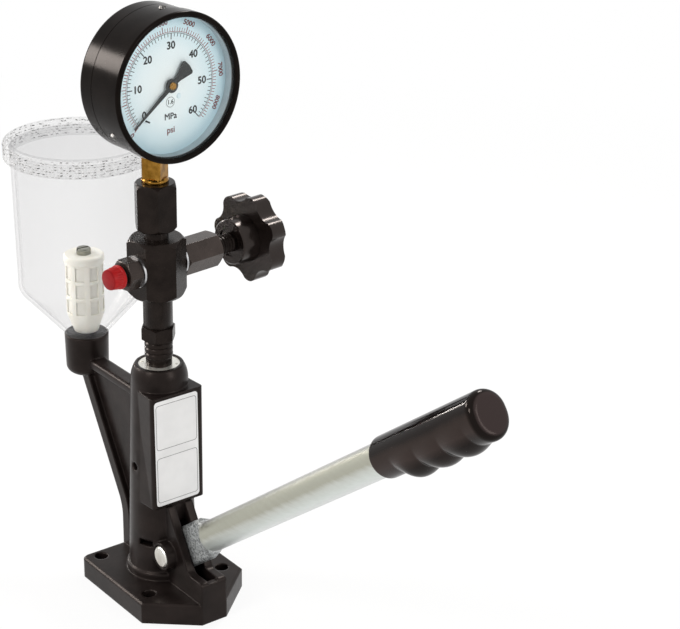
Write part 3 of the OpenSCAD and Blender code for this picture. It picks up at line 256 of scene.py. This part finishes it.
def cast_paint():
    """Enamel on the casting, whose edges look rounder than its mesh."""
    s = Shader("cast_paint")
    edge = s.fill(s.node("Bevel", samples=8), Radius=0.002)
    rise = s.bump(s.noise(75, 2), 0.0005, 0.15, edge.outputs["Normal"])
    rise = s.bump(s.noise(900, 2, 0.6), 0.0001, 0.02, rise)
    return s.set(Base_Color=s.mixed((0.006, 0.0042, 0.0038), (0.013, 0.0095, 0.0088), s.noise(55, 3)),
                 Roughness=s.span(s.noise(300, 3), 0.3, 0.37), Specular_IOR_Level=0.16,
                 Specular_Tint=WARM, Normal=rise)


def black_oxide(name="black_oxide", turned=False, mirror=0.12, shade=1.0):
    s = Shader(name)
    lines = s.noise(22, 4, 0.6, s.mapped((1, 1, 60))) if turned else s.noise(260, 3)
    dark = tuple(c * shade for c in (0.006, 0.0043, 0.0037))
    light = tuple(c * shade for c in (0.013, 0.0096, 0.0083))
    return s.set(Base_Color=s.mixed(dark, light, s.noise(90, 3)), Roughness=s.span(lines, 0.2, 0.3),
                 Specular_IOR_Level=mirror, Specular_Tint=WARM, Normal=s.bump(lines, 0.00003, 0.3))


def lever_zinc():
    """Zinc-plated tube: painted reflection bands along its length, lighter and darker by height, and a
    coarse skin on the pressed end.
    """
    pressed, full_round, painted_bands_half = 0.047, 0.055, 0.0115
    s = Shader("lever_zinc")
    along, above = s.lever_places()
    streaks = s.noise(9, 4, 0.6, s.mapped((1.2, 45, 45), (0, LEVER_ANGLE, 0)))
    speckle = s.noise(520, 3, 0.75)
    smooth = s.span(along, 0, 1, pressed, full_round, "SMOOTHSTEP")
    height = s.span(above, 0, 1, -painted_bands_half, painted_bands_half)
    wander = s.math("MULTIPLY_ADD", streaks, 0.16, -0.08)
    # Painted reflection: stripes lighter at top and bottom and darker in the middle, set by height above
    # the tube's axis
    painted_reflection_bands = s.ramp(s.math("ADD", height, wander), [
        (0.0, (0.67, 0.69, 0.68)), (0.16, (0.62, 0.66, 0.63)), (0.36, (0.53, 0.55, 0.51)),
        (0.5, (0.37, 0.37, 0.31)), (0.82, (0.33, 0.335, 0.28)), (0.88, (0.43, 0.44, 0.40)),
        (0.94, (0.34, 0.34, 0.32)), (1.0, (0.60, 0.61, 0.62))])
    coarse = s.ramp(speckle, [
        (0.34, (0.05, 0.055, 0.06)), (0.46, (0.24, 0.25, 0.25)), (0.6, (0.5, 0.52, 0.52))])
    lumps = s.math("MULTIPLY", speckle, s.span(smooth, 1.0, 0.03, 0, 1))
    return s.set(Base_Color=s.mix(smooth, coarse, painted_reflection_bands), Metallic=0.85,
                 Roughness=s.mix(smooth, 0.5, s.span(streaks, 0.3, 0.42), "FLOAT"),
                 Normal=s.bump(streaks, 0.00003, 0.12, s.bump(lumps, 0.0007, 0.8)))


def bright_zinc():
    s = Shader("bright_zinc")
    fine = s.noise(420, 3)
    return s.set(Base_Color=s.mixed((0.72, 0.71, 0.66), (0.88, 0.87, 0.82), s.noise(120, 3)),
                 Metallic=0.8, Roughness=s.span(fine, 0.28, 0.4), Normal=s.bump(fine, 0.00003, 0.4))


def plain_steel(name="plain_steel", dark=(0.42, 0.42, 0.43), light=(0.58, 0.58, 0.59)):
    s = Shader(name)
    fine = s.noise(30, 4, 0.6, s.mapped((1, 1, 40)))
    return s.set(Base_Color=s.mixed(dark, light, s.noise(150, 3)), Metallic=1.0,
                 Roughness=s.span(fine, 0.25, 0.4), Normal=s.bump(fine, 0.00003, 0.4))


def brass():
    s = Shader("brass")
    fine = s.noise(24, 4, 0.6, s.mapped((50, 50, 1)))
    return s.set(Base_Color=s.mixed((0.17, 0.08, 0.01), (0.36, 0.185, 0.035), s.noise(160, 3)),
                 Metallic=1.0, Roughness=s.span(fine, 0.16, 0.3), Normal=s.bump(fine, 0.00005, 0.5))


def copper():
    s = Shader("copper")
    return s.set(Base_Color=s.mixed((0.55, 0.25, 0.13), (0.70, 0.36, 0.2), s.noise(150, 3)),
                 Metallic=1.0, Roughness=s.span(s.noise(300, 2), 0.3, 0.45))


def knob_bakelite():
    s = Shader("knob_bakelite")
    fine = s.noise(700, 2)
    return s.set(Base_Color=s.mixed((0.006, 0.0042, 0.0037), (0.011, 0.0078, 0.007), s.noise(45, 2)),
                 Roughness=s.span(fine, 0.16, 0.22), Specular_IOR_Level=0.36, Specular_Tint=WARM,
                 Normal=s.bump(fine, 0.00005, 0.25))


def grip_vinyl():
    """Dipped vinyl: deep black above, with a painted brown sheen below, a thin painted highlight along the
    top, painted shade on the end's rim and a painted sheen on the end face.
    """
    s = Shader("grip_vinyl")
    along, above = s.lever_places()
    far = GRIP_START + GRIP_LENGTH
    wander = s.span(s.noise(40, 2), -0.04, 0.04)
    height = s.math("ADD", s.span(above, 0, 1, -GRIP_RADIUS, GRIP_RADIUS), wander)
    # Painted sheen by height: a brown band below, deep black above and a thin lighter painted highlight at
    # the very top
    side = s.ramp(height, [
        (0.0, (0.008, 0.006, 0.0055)), (0.22, (0.032, 0.023, 0.021)), (0.52, (0.020, 0.0135, 0.0115)),
        (0.64, (0.005, 0.003, 0.0024)), (0.86, (0.003, 0.002, 0.0018)), (1.0, (0.012, 0.0115, 0.013))])
    # Painted shade on the rounded rim near the end, and a painted sheen on the end face
    rim = s.span(along, 0, 1, far - 0.0052, far - 0.003)
    end = s.span(along, 0, 1, far - 0.0008, far - 0.0002)
    painted_sheen_and_rim_shade = s.mix(rim, side, (0.006, 0.0043, 0.0038, 1))
    fine = s.noise(500, 2)
    return s.set(Base_Color=s.mix(end, painted_sheen_and_rim_shade, (0.040, 0.029, 0.0285, 1)),
                 Roughness=s.span(fine, 0.07, 0.12), Specular_IOR_Level=0.1, Specular_Tint=WARM,
                 Normal=s.bump(fine, 0.00005, 0.2))


def red_plastic():
    """The cap's red, with a painted shade that darkens its end face."""
    s = Shader("red_plastic")
    end = -CAP_START - CAP_LENGTH
    fine = s.noise(500, 2)
    behind = s.split(s.mapped(rotation=(0, 0, -TOP_TURN)))["Y"]
    wander = s.span(s.noise(130, 3), 0, 0.3)
    # Painted shade: the red darkens toward the cap's end face
    shade = s.math("ADD", s.span(behind, 0.1, 0.6, end + 0.0002, end + 0.0012), wander)
    red = s.ramp(shade, [
        (0.1, (0.19, 0.006, 0.008)), (0.4, (0.26, 0.009, 0.011)), (0.9, (0.43, 0.015, 0.016))])
    return s.set(Base_Color=red, Roughness=s.span(fine, 0.28, 0.4), Specular_IOR_Level=0.1,
                 Normal=s.bump(fine, 0.00005, 0.3))


def gauge_paint():
    s = Shader("gauge_paint")
    fine = s.noise(1100, 2)
    return s.set(Base_Color=s.mixed((0.003, 0.0021, 0.0017), (0.006, 0.0044, 0.0037), s.noise(70, 3)),
                 Roughness=s.span(fine, 0.16, 0.2), Specular_IOR_Level=0.06, Specular_Tint=WARM,
                 Normal=s.bump(fine, 0.00004, 0.08))


def dial_card(name="dial_card", dark=(0.74, 0.89, 0.95), light=(0.80, 0.94, 0.99)):
    s = Shader(name)
    return s.set(Base_Color=s.mixed(dark, light, s.noise(40, 2)),
                 Roughness=s.span(s.noise(700, 2), 0.5, 0.62))


def dial_face():
    """The dial's pale blue card, with painted light in the middle and painted shade toward the rim under
    the bezel.
    """
    s = Shader("dial_face")
    places = s.split(s.mapped(location=-GAUGE_CENTRE))
    away = s.span(s.reach(places["Y"], places["Z"]), 0, 1, 0, DIAL_RADIUS)
    shade = s.math("ADD", away, s.span(s.noise(40, 2), -0.04, 0.04))
    # Painted shade: the card darkens from the middle toward the rim
    return s.set(Base_Color=s.ramp(shade, [(0.0, (0.93, 1.0, 1.0)), (0.5, (0.86, 0.97, 1.0)),
                                           (0.85, (0.70, 0.88, 0.94)), (1.0, (0.55, 0.75, 0.83))]),
                 Roughness=s.span(s.noise(700, 2), 0.5, 0.62))


def ink(name, colour):
    s = Shader(name)
    shade = tuple(c * 0.8 for c in colour)
    return s.set(Base_Color=s.mixed(shade, colour, s.noise(400, 2)), Roughness=0.6)


def sticker_white():
    s = Shader("sticker_white")
    return s.set(Base_Color=s.mixed((0.77, 0.77, 0.775), (0.83, 0.83, 0.835), s.noise(60, 2)),
                 Roughness=s.span(s.noise(600, 2), 0.4, 0.5))


def tank_plastic():
    """Clear moulded plastic: thin to look through, denser where a wall is seen along its length."""
    s = Shader("tank_clear")
    s.mat.surface_render_method = "BLENDED"
    light = (0.33, 0.33, 0.35)
    dark = tuple(c * 0.92 for c in light)
    face = 0.062
    haze = s.noise(35, 3)
    return s.set(Base_Color=s.mixed(dark, light, haze), Roughness=s.span(haze, 0.05, 0.1),
                 Alpha=s.lean(0.35, [(0.0, face), (0.55, face * 1.6), (1.0, 0.66)]),
                 Specular_IOR_Level=0.6, Normal=s.bump(s.noise(18, 2), 0.0006, 0.15))


def lid_plastic():
    """The lid's clear plastic, with painted dark dashes and painted bright glints where the knurl's grooves
    bend the light.
    """
    s = Shader("lid_clear")
    s.mat.surface_render_method = "BLENDED"
    low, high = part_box("tank_lid")
    radius = high.x - TANK_X
    pitch = (high.z - low.z - 2 * LID_MARGIN + LID_GROOVE) / LID_LINES
    places = s.split(s.mapped(location=(-TANK_X, 0, -low.z - LID_MARGIN)))
    column = s.math("MULTIPLY", s.math("ARCTAN2", places["Y"], places["X"]), LID_COLUMNS / (2 * math.pi))
    row = s.math("DIVIDE", places["Z"], pitch)
    beside = s.math("PINGPONG", column, 0.5)
    above = s.math("PINGPONG", s.math("ADD", row, LID_GROOVE / 2 / pitch), 0.5)
    cell = s.fill(s.node("CombineXYZ"), X=s.math("FLOOR", column), Y=s.math("ROUND", row))
    draw = s.fill(s.node("TexWhiteNoise", noise_dimensions="2D"), Vector=cell.outputs["Vector"])
    chance = draw.outputs["Value"]
    # Painted dark dashes along the rows and between the columns, standing for light bent by the knurl
    painted_groove_dashes = s.math("MULTIPLY", s.span(above, 1, 0, 0.15, 0.3), s.span(beside, 0, 1, 0.08, 0.2))
    painted_column_lines = s.span(beside, 0.45, 0, 0.06, 0.16)
    picked = s.span(chance, 0.05, 1, 0.3, 0.85)
    outside = s.span(s.reach(places["X"], places["Y"]), 0, 1, radius - 0.0022, radius - 0.001)
    marks = s.math("MULTIPLY", s.math("MAXIMUM", painted_groove_dashes, painted_column_lines), s.math("MULTIPLY", picked, outside))
    # Painted glints: the knurl's cells lighter or greyer at random, standing for light bent by the grooves
    knurl = s.mixed((0.5, 0.5, 0.51), (0.93, 0.93, 0.93), chance, 0.3, 0.7)
    plain = s.mix(outside, (0.2, 0.2, 0.215, 1), knurl)
    density = s.lean(0.4, [(0.0, 0.09), (0.6, 0.13), (1.0, 0.6)])
    return s.set(Base_Color=s.mix(marks, plain, (0.01, 0.01, 0.009, 1)), Roughness=0.07,
                 Alpha=s.math("MAXIMUM", density, s.math("MULTIPLY", marks, 0.97)), Specular_IOR_Level=0.6)


def lens_glass():
    s = Shader("lens_glass")
    s.mat.surface_render_method = "BLENDED"
    return s.set(Base_Color=s.mixed((0.80, 0.88, 0.90), (0.85, 0.92, 0.94), s.noise(30, 2)), Roughness=0.04,
                 Specular_IOR_Level=0.15, Alpha=s.lean(0.2, [(0.0, 0.01), (1.0, 0.12)]))


def ivory_plastic():
    s = Shader("ivory_plastic")
    fine = s.noise(350, 2)
    return s.set(Base_Color=s.mixed((0.84, 0.825, 0.75), (0.91, 0.90, 0.835), s.noise(70, 3)),
                 Roughness=s.span(fine, 0.38, 0.5), Subsurface_Weight=0.2,
                 Subsurface_Radius=(0.006, 0.005, 0.004), Normal=s.bump(fine, 0.00006, 0.3))


def filter_gauze():
    s = Shader("filter_gauze")
    wave = s.node("TexWave", wave_type="BANDS", bands_direction="Z")
    weave = s.fill(wave, Scale=500, Vector=s.coords).outputs["Fac"]
    return s.set(Base_Color=s.mixed((0.86, 0.845, 0.78), (0.94, 0.93, 0.87), weave, 0.3, 0.7),
                 Roughness=0.7, Normal=s.bump(weave, 0.0003, 0.6))


def rubber():
    s = Shader("rubber")
    fine = s.noise(600, 2)
    return s.set(Base_Color=s.mixed((0.012, 0.012, 0.012), (0.024, 0.023, 0.022), s.noise(90, 2)),
                 Roughness=s.span(fine, 0.6, 0.75), Normal=s.bump(fine, 0.00008, 0.4))


finishes = {
    "cast_black": cast_paint(),
    "black_steel": black_oxide(),
    "zinc": bright_zinc(),
    "steel": plain_steel(),
    "spring_steel": plain_steel(),
    "brass": brass(),
    "copper": copper(),
    "grip_black": grip_vinyl(),
    "knob_black": knob_bakelite(),
    "cap_red": red_plastic(),
    "gauge_black": gauge_paint(),
    "dial_white": dial_card(),
    "pointer_black": ink("pointer_black", (0.008, 0.008, 0.008)),
    "lens_clear": lens_glass(),
    "tank_clear": tank_plastic(),
    "filter_ivory": ivory_plastic(),
    "seal_black": rubber(),
}
own_finish = {
    "lever_tube": lever_zinc(),
    "gauge_dial": dial_face(),
    "tank_lid": lid_plastic(),
    "tank_bolt": plain_steel("bolt_steel", (0.20, 0.205, 0.17), (0.30, 0.30, 0.25)),
    "filter_mesh": filter_gauze(),
    # The ring inside the bezel is a darker copy of the dial card: painted shade of the recess
    "dial_ring": dial_card("dial_wall_painted_shade", (0.34, 0.42, 0.46), (0.44, 0.52, 0.56)),
    "delivery_union": black_oxide("black_oxide_turned", turned=True),
    # Lighter, browner copies of the black oxide for the bonnet and outlet: partly their own finish, partly
    # a painted sheen
    "valve_bonnet": black_oxide("brown_oxide_painted_sheen", mirror=0.42, shade=2.4),
    "outlet_adaptor": black_oxide("brown_oxide_outlet", mirror=0.35, shade=2.0),
    "case_screws": plain_steel("screw_steel", (0.06, 0.058, 0.055), (0.16, 0.155, 0.15)),
}


def paint(piece, material):
    piece.data.materials.clear()
    piece.data.materials.append(material)


for part in frame["record"]["subparts"]:
    name = part["node"]
    paint(nodes[name], own_finish.get(name, finishes[part["material_slot"]]))


# Rounded edges on the machined and cast pieces

def soften(name, width, segments=2, angle=32):
    weld = nodes[name].modifiers.new("join", "WELD")
    weld.merge_threshold = 0.000002
    edge = nodes[name].modifiers.new("edge", "BEVEL")
    edge.width = width
    edge.segments = segments
    edge.limit_method = "ANGLE"
    edge.angle_limit = math.radians(angle)
    edge.use_clamp_overlap = True
    edge.harden_normals = True
    edge.miter_outer = "MITER_ARC"


EDGE_WIDTHS = {
    "pump_body": 0.0011, "cross_block": 0.0005, "gauge_adaptor": 0.0005, "valve_bonnet": 0.0004,
    "outlet_adaptor": 0.0004, "lock_nut": 0.00035, "gauge_socket": 0.00035, "pivot_pin": 0.0004,
    "ring_nut": 0.0004, "filter_cage": 0.0003, "gauge_pointer": 0.0001,
}
for name, width in EDGE_WIDTHS.items():
    soften(name, width)


# Helpers for the pieces made here

def add_piece(name, mesh, body, material):
    piece = bpy.data.objects.new(name, mesh)
    scene.collection.objects.link(piece)
    piece.data.materials.append(material)
    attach(piece, body)
    return piece


def mesh_from(name, points, faces, smooth=False):
    mesh = bpy.data.meshes.new(name)
    mesh.from_pydata(points, [], faces)
    mesh.update()
    if smooth:
        mesh.polygons.foreach_set("use_smooth", [True] * len(mesh.polygons))
    return mesh


def circle(sides):
    """The angles of points around a full turn."""
    return [2 * math.pi * j / sides for j in range(sides)]


def skin(rings, sides, flip=False):
    """Faces between neighbouring rings of points."""
    faces = []
    for i in range(rings - 1):
        for j in range(sides):
            k = (j + 1) % sides
            near, next_near = i * sides + j, i * sides + k
            far, next_far = near + sides, next_near + sides
            faces.append((near, next_near, next_far, far) if flip else (near, far, next_far, next_near))
    return faces


# Grip

def on_lever(along, across, above):
    c, s = math.cos(LEVER_ANGLE), math.sin(LEVER_ANGLE)
    return LEVER_PIVOT + Vector((along * c - above * s, across, along * s + above * c))


def end_round(distance, radius):
    if distance >= radius:
        return 0.0
    return radius - math.sqrt(max(0.0, radius ** 2 - (radius - distance) ** 2))


def bump_height(along):
    t = (along - GRIP_LEAD) / GRIP_PITCH
    if t <= 0:
        return 0.0
    if t > GRIP_LOBES:
        rise = math.sin(min(math.pi / 2, math.pi * (t - GRIP_LOBES)))
        return GRIP_BUMP - GRIP_NOTCH + (GRIP_HEAD - GRIP_BUMP + GRIP_NOTCH) * rise
    wave = abs(math.sin(math.pi * t))
    return GRIP_BUMP * wave if t < 0.5 else GRIP_BUMP - GRIP_NOTCH * (1 - wave)


def grip_radius(along, angle):
    bump = bump_height(along) * max(0.0, -math.sin(angle)) ** 1.5
    return GRIP_RADIUS + bump - end_round(along, GRIP_LIP) - end_round(GRIP_LENGTH - along, GRIP_EDGE)


def grip_stations():
    """Distances along the grip at which it has a ring of points."""
    lip_rings, lead_rings, bump_rings, end_rings = 4, 12, 30, 8
    body_end = GRIP_LENGTH - GRIP_EDGE
    step = GRIP_PITCH / bump_rings
    stations = [GRIP_LIP * (1 - math.cos(math.pi / 2 * i / lip_rings)) for i in range(lip_rings)]
    stations += [GRIP_LIP + (GRIP_LEAD - GRIP_LIP) * i / lead_rings for i in range(lead_rings)]
    stations += [GRIP_LEAD + step * i for i in range(int((body_end - GRIP_LEAD) / step))]
    stations += [body_end + GRIP_EDGE * math.sin(math.pi / 2 * i / end_rings)
                 for i in range(end_rings + 1)]
    return stations


def make_grip():
    sides = 72
    stations = grip_stations()
    points = []
    for along in stations:
        for a in circle(sides):
            r = grip_radius(along, a)
            points.append(on_lever(GRIP_START + along, r * math.cos(a), r * math.sin(a)))
    faces = skin(len(stations), sides)
    tip = len(points)
    points.append(on_lever(GRIP_START + GRIP_LENGTH, 0, 0))
    last = tip - sides
    faces += [(last + j, tip, last + (j + 1) % sides) for j in range(sides)]
    # The open end closes on the tube
    bore = len(points)
    points += [on_lever(GRIP_START, GRIP_BORE * math.cos(a), GRIP_BORE * math.sin(a))
               for a in circle(sides)]
    faces += [(j, (j + 1) % sides, bore + (j + 1) % sides, bore + j) for j in range(sides)]
    mesh = mesh_from("grip", points, faces, True)
    piece = add_piece("grip", mesh, "lever", finishes["grip_black"])
    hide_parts("lever_grip")


# Cap

def make_cap():
    """Tapered cap with fine ridges above its rim, turned about the outlet's axis."""
    sides, ridges, ridge_depth, sharp = 144, 24, 0.0003, math.radians(30)
    bore, depth = 0.0064, 0.0080
    low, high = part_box("dust_cap")
    middle = UP * (low.z + high.z) / 2
    # Distance along the cap, radius, and whether the ring has ridges
    profile = [(depth, 0.0, 0), (depth, bore, 0), (0, bore, 0), (0, 0.0082, 0), (0.0002, 0.0084, 0),
               (0.0017, 0.0084, 0), (0.0020, 0.0081, 0), (0.0022, 0.0080, 1), (0.0058, 0.00775, 1),
               (0.0062, 0.0075, 0), (0.0092, 0.0072, 0), (0.0098, 0.0069, 0), (CAP_LENGTH, 0.0064, 0),
               (CAP_LENGTH, 0.0, 0)]
    points = []
    for along, radius, ribbed in profile:
        for a in circle(sides):
            r = radius - ribbed * ridge_depth * (0.5 - 0.5 * math.cos(a * ridges))
            around = OUTLET_RIGHT * r * math.cos(a) + UP * r * math.sin(a)
            points.append(middle + OUTLET_OUT * (CAP_START + along) + around)
    mesh = mesh_from("cap_shell", points, skin(len(profile), sides, flip=True), True)
    mesh.set_sharp_from_angle(angle=sharp)
    piece = add_piece("cap_shell", mesh, "cap", finishes["cap_red"])
    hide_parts("dust_cap")


# Springs

def make_coil(node, name, wire, turns):
    """A round-wire spring about the column's axis."""
    steps, sides, sharp = 32, 12, math.radians(60)
    low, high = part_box(node)
    half = wire / 2
    radius = high.x - half
    length = high.z - low.z
    rings = turns * steps + 1
    points = []
    for i in range(rings):
        a = 2 * math.pi * i / steps
        z = low.z + half + (length - wire) * i / (rings - 1)
        for b in circle(sides):
            r = radius + half * math.cos(b)
            points.append((r * math.cos(a), r * math.sin(a), z + half * math.sin(b)))
    faces = skin(rings, sides)
    last = (rings - 1) * sides
    faces += [tuple(range(sides)), tuple(last + j for j in reversed(range(sides)))]
    mesh = mesh_from(name, points, faces, True)
    mesh.set_sharp_from_angle(angle=sharp)
    piece = add_piece(name, mesh, "stand", finishes["spring_steel"])
    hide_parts(node)
    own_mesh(piece)


# Dial print

def on_face(right, up):
    return GAUGE_CENTRE + GAUGE_OUT * (DIAL_FACE + PRINT_RISE) + GAUGE_RIGHT * right + UP * up


def polar(radius, degrees):
    a = math.radians(degrees)
    return radius * math.cos(a), radius * math.sin(a)


def on_dial(radius, degrees):
    return on_face(*polar(radius, degrees))


def scale_angle(fraction):
    return ZERO_ANGLE - DIAL_SWEEP * fraction


def by_rank(i, tenth, fifth, other):
    """The value for a scale's tenth mark, fifth mark or any other."""
    return tenth if i % 10 == 0 else fifth if i % 5 == 0 else other


class Print:
    """Flat ink marks on the dial, gathered in one mesh."""

    def __init__(self):
        self.points, self.faces = [], []

    def quad(self, corners):
        start = len(self.points)
        self.points += corners
        self.faces.append(tuple(range(start, start + 4)))

    def tick(self, angle, inner, outer, width):
        turn = math.degrees(width / 2 / ((inner + outer) / 2))
        self.quad([on_dial(inner, angle + turn), on_dial(outer, angle + turn),
                   on_dial(outer, angle - turn), on_dial(inner, angle - turn)])

    def scale_line(self, radius, steps=120):
        inner, outer = radius - LINE_WIDTH / 2, radius + LINE_WIDTH / 2
        for i in range(steps):
            a, b = scale_angle(i / steps), scale_angle((i + 1) / steps)
            self.quad([on_dial(outer, a), on_dial(outer, b), on_dial(inner, b), on_dial(inner, a)])

    def ring(self, place, radius, width, steps=36):
        def loop(reach):
            return [on_face(place[0] + reach * math.cos(a), place[1] + reach * math.sin(a))
                    for a in circle(steps)]

        inner, outer = loop(radius - width / 2), loop(radius + width / 2)
        for i in range(steps):
            k = (i + 1) % steps
            self.quad([inner[i], outer[i], outer[k], inner[k]])

    def word(self, text, place, height, turn=0.0, weight=0.00026):
        """Letters drawn a few times with small shifts, which makes them bold."""
        capital_share = 0.7
        curve = bpy.data.curves.new("word", "FONT")
        curve.body = text
        curve.size = height / capital_share
        curve.align_x = "CENTER"
        curve.align_y = "CENTER"
        curve.resolution_u = 4
        flat = bpy.data.objects.new("word", curve)
        scene.collection.objects.link(flat)
        bpy.context.view_layer.update()
        shape = flat.evaluated_get(bpy.context.evaluated_depsgraph_get()).to_mesh()
        c, s = math.cos(math.radians(turn)), math.sin(math.radians(turn))
        for dx, dy in ((-weight, 0), (weight, 0), (0, -weight), (0, weight)):
            start = len(self.points)
            for v in shape.vertices:
                x, y = v.co.x + dx, v.co.y + dy
                self.points.append(on_face(place[0] + x * c - y * s, place[1] + x * s + y * c))
            for p in shape.polygons:
                self.faces.append(tuple(start + i for i in p.vertices))
        bpy.data.objects.remove(flat)
        bpy.data.curves.remove(curve)

    def piece(self, name, material):
        add_piece(name, mesh_from(name, self.points, self.faces), "stand", material)


def print_main_scale(black):
    number_radius, end_radius, number_height, zero_turn = 0.0264, 0.0274, 0.0049, 4
    black.scale_line(LINE_RADIUS)
    for i in range(FULL_SCALE + 1):
        length = by_rank(i, 0.0042, 0.0032, 0.0024)
        black.tick(scale_angle(i / FULL_SCALE), LINE_RADIUS - length, LINE_RADIUS,
                   by_rank(i, 0.0007, 0.00045, 0.00045))
    for i in range(0, FULL_SCALE + 1, 10):
        angle = scale_angle(i / FULL_SCALE) - (zero_turn if i == 0 else 0)
        radius = number_radius if 0 < i < FULL_SCALE else end_radius
        black.word(str(i), polar(radius, angle), number_height)


def print_red_scale(red):
    number_radius, number_height, thin = 0.0422, 0.0034, 0.00015
    marks, mark_psi, number_psi = 87, 100, 1000

    def psi_angle(psi):
        return scale_angle(psi / PSI_PER_UNIT / FULL_SCALE)

    red.scale_line(RED_RADIUS)
    for i in range(marks):
        red.tick(psi_angle(i * mark_psi), RED_RADIUS, RED_RADIUS + by_rank(i, 0.0042, 0.0034, 0.0027),
                 by_rank(i, 0.0006, 0.0004, 0.0004))
    for psi in range(0, marks * mark_psi, number_psi):
        angle = psi_angle(psi)
        red.word(str(psi), polar(number_radius, angle), number_height, angle - 90, thin)


def make_dial_print():
    black, red = Print(), Print()
    class_mark, unit, second_unit = (0, -0.0115), (0, -0.0213), (0, -0.0307)
    unit_height, thin = 0.0042, 0.00015
    print_main_scale(black)
    print_red_scale(red)
    black.ring(class_mark, 0.0034, 0.0003)
    black.word("1.6", class_mark, 0.003, weight=0.0001)
    black.word("MPa", unit, unit_height, weight=thin)
    red.word("psi", second_unit, unit_height, weight=thin)
    black.piece("dial_print_black", ink("ink_black", (0.012, 0.012, 0.014)))
    red.piece("dial_print_red", ink("ink_red", (0.26, 0.025, 0.03)))


# Label: a plain white sticker with two thin frames

def rounded(width, height, radius, steps=6):
    outline = []
    for i, (sx, sy) in enumerate(((1, 1), (-1, 1), (-1, -1), (1, -1))):
        for k in range(steps + 1):
            a = math.pi / 2 * (i + k / steps)
            outline.append((sx * (width / 2 - radius) + radius * math.cos(a),
                            sy * (height / 2 - radius) + radius * math.sin(a)))
    return outline


def band(start, count):
    """Faces between two outlines of the same number of points."""
    return [(start + i, start + (i + 1) % count, start + count + (i + 1) % count, start + count + i)
            for i in range(count)]


def make_label():
    middle = Vector((0.0235, -0.0013, 0.1202))
    lean = math.radians(0.55)
    width, height, corner, thick = 0.0360, 0.0822, 0.0025, 0.00012
    frame_width, frame_corner, frame_line, frame_rise = 0.0338, 0.0024, 0.0004, 0.00003
    frames = ((0.0349, 0.0207), (0.0355, -0.0207))

    def on_box(y, z, rise):
        c, s = math.cos(lean), math.sin(lean)
        return middle + Vector((rise, y * c - z * s, y * s + z * c))

    outline = rounded(width, height, corner)
    count = len(outline)
    points = [on_box(y, z, rise) for rise in (0, thick) for y, z in outline]
    faces = [tuple(range(count, 2 * count)), tuple(reversed(range(count)))] + band(0, count)
    add_piece("label", mesh_from("label", points, faces), "stand", sticker_white())
    points, faces = [], []
    for frame_height, shift in frames:
        outer = rounded(frame_width, frame_height, frame_corner)
        inner = rounded(frame_width - 2 * frame_line, frame_height - 2 * frame_line,
                        frame_corner - frame_line)
        faces += band(len(points), len(outer))
        points += [on_box(y, shift + z, thick + frame_rise) for y, z in outer + inner]
    grey = ink("ink_grey", (0.16, 0.16, 0.17))
    add_piece("label_frames", mesh_from("label_frames", points, faces), "stand", grey)


make_camera()
make_grip()
make_cap()
make_coil("plunger_spring", "plunger_coil", wire=0.0024, turns=8)
make_coil("delivery_spring", "delivery_coil", wire=0.0008, turns=6)
make_dial_print()
make_label()


# World, floor and lamps

def make_world():
    """White to look at, with a softer light on the object."""
    world = bpy.data.worlds.new("studio")
    world.use_nodes = True
    scene.world = world
    tree = Tree(world.node_tree)
    seen = tree.fill(world.node_tree.nodes["Background"], Color=(1, 1, 1, 1), Strength=1)
    ambient = tree.fill(tree.node("Background"), Color=(1, 0.99, 0.97, 1), Strength=0.42)
    light = tree.shader_mix(tree.seen_share(), ambient.outputs["Background"], seen.outputs["Background"])
    tree.fill(world.node_tree.nodes["World Output"], Surface=light)


def make_floor():
    """A white floor, whose shadow fades out with the distance from the object."""
    half, fade_start, fade_end, near_glow = 3.0, 0.5, 1.4, 0.88
    corners = [(-half, -half, 0), (half, -half, 0), (half, half, 0), (-half, half, 0)]
    floor = bpy.data.objects.new("floor", mesh_from("floor", corners, [(0, 1, 2, 3)]))
    scene.collection.objects.link(floor)
    s = Shader("floor_white")
    s.set(Base_Color=(0.9, 0.9, 0.9, 1), Roughness=0.9)
    glow = s.fill(s.node("Emission"), Color=(1, 1, 1, 1))
    away = s.node("VectorMath", operation="LENGTH")
    s.feed(away.inputs[0], s.coords)
    fade = s.span(away.outputs["Value"], near_glow, 1, fade_start, fade_end)
    share = s.math("MULTIPLY", s.seen_share(), fade)
    surface = s.shader_mix(share, s.bsdf.outputs["BSDF"], glow.outputs["Emission"])
    s.fill(s.tree.nodes["Material Output"], Surface=surface)
    floor.data.materials.append(s.mat)


def make_lamp(name, place, aim, size, watts, colour):
    data = bpy.data.lights.new(name, "AREA")
    data.shape = "RECTANGLE"
    data.size, data.size_y = size
    data.energy = watts
    data.color = colour
    lamp = bpy.data.objects.new(name, data)
    lamp.location = place
    lamp.rotation_euler = (Vector(aim) - Vector(place)).to_track_quat("-Z", "Y").to_euler()
    scene.collection.objects.link(lamp)


make_world()
make_floor()
make_lamp("key", (0.2, -1.5, 1.25), (0, 0, 0.22), (0.5, 0.5), 14, (1, 0.98, 0.95))
make_lamp("fill", (1.5, 0.5, 0.9), (0, 0, 0.2), (0.5, 1.0), 8.5, (1, 1, 0.99))
make_lamp("top", (-0.35, 0.85, 1.45), (0, 0, 0.22), (0.32, 0.32), 12, (1, 0.98, 0.95))
make_lamp("side", (-1.2, -0.86, 0.83), (0, 0, 0.35), (0.42, 0.42), 15, (1, 0.95, 0.9))
make_lamp("line", (-1.5, -0.15, 0.45), (0, 0, 0.25), (0.14, 0.45), 4, (1, 0.95, 0.9))
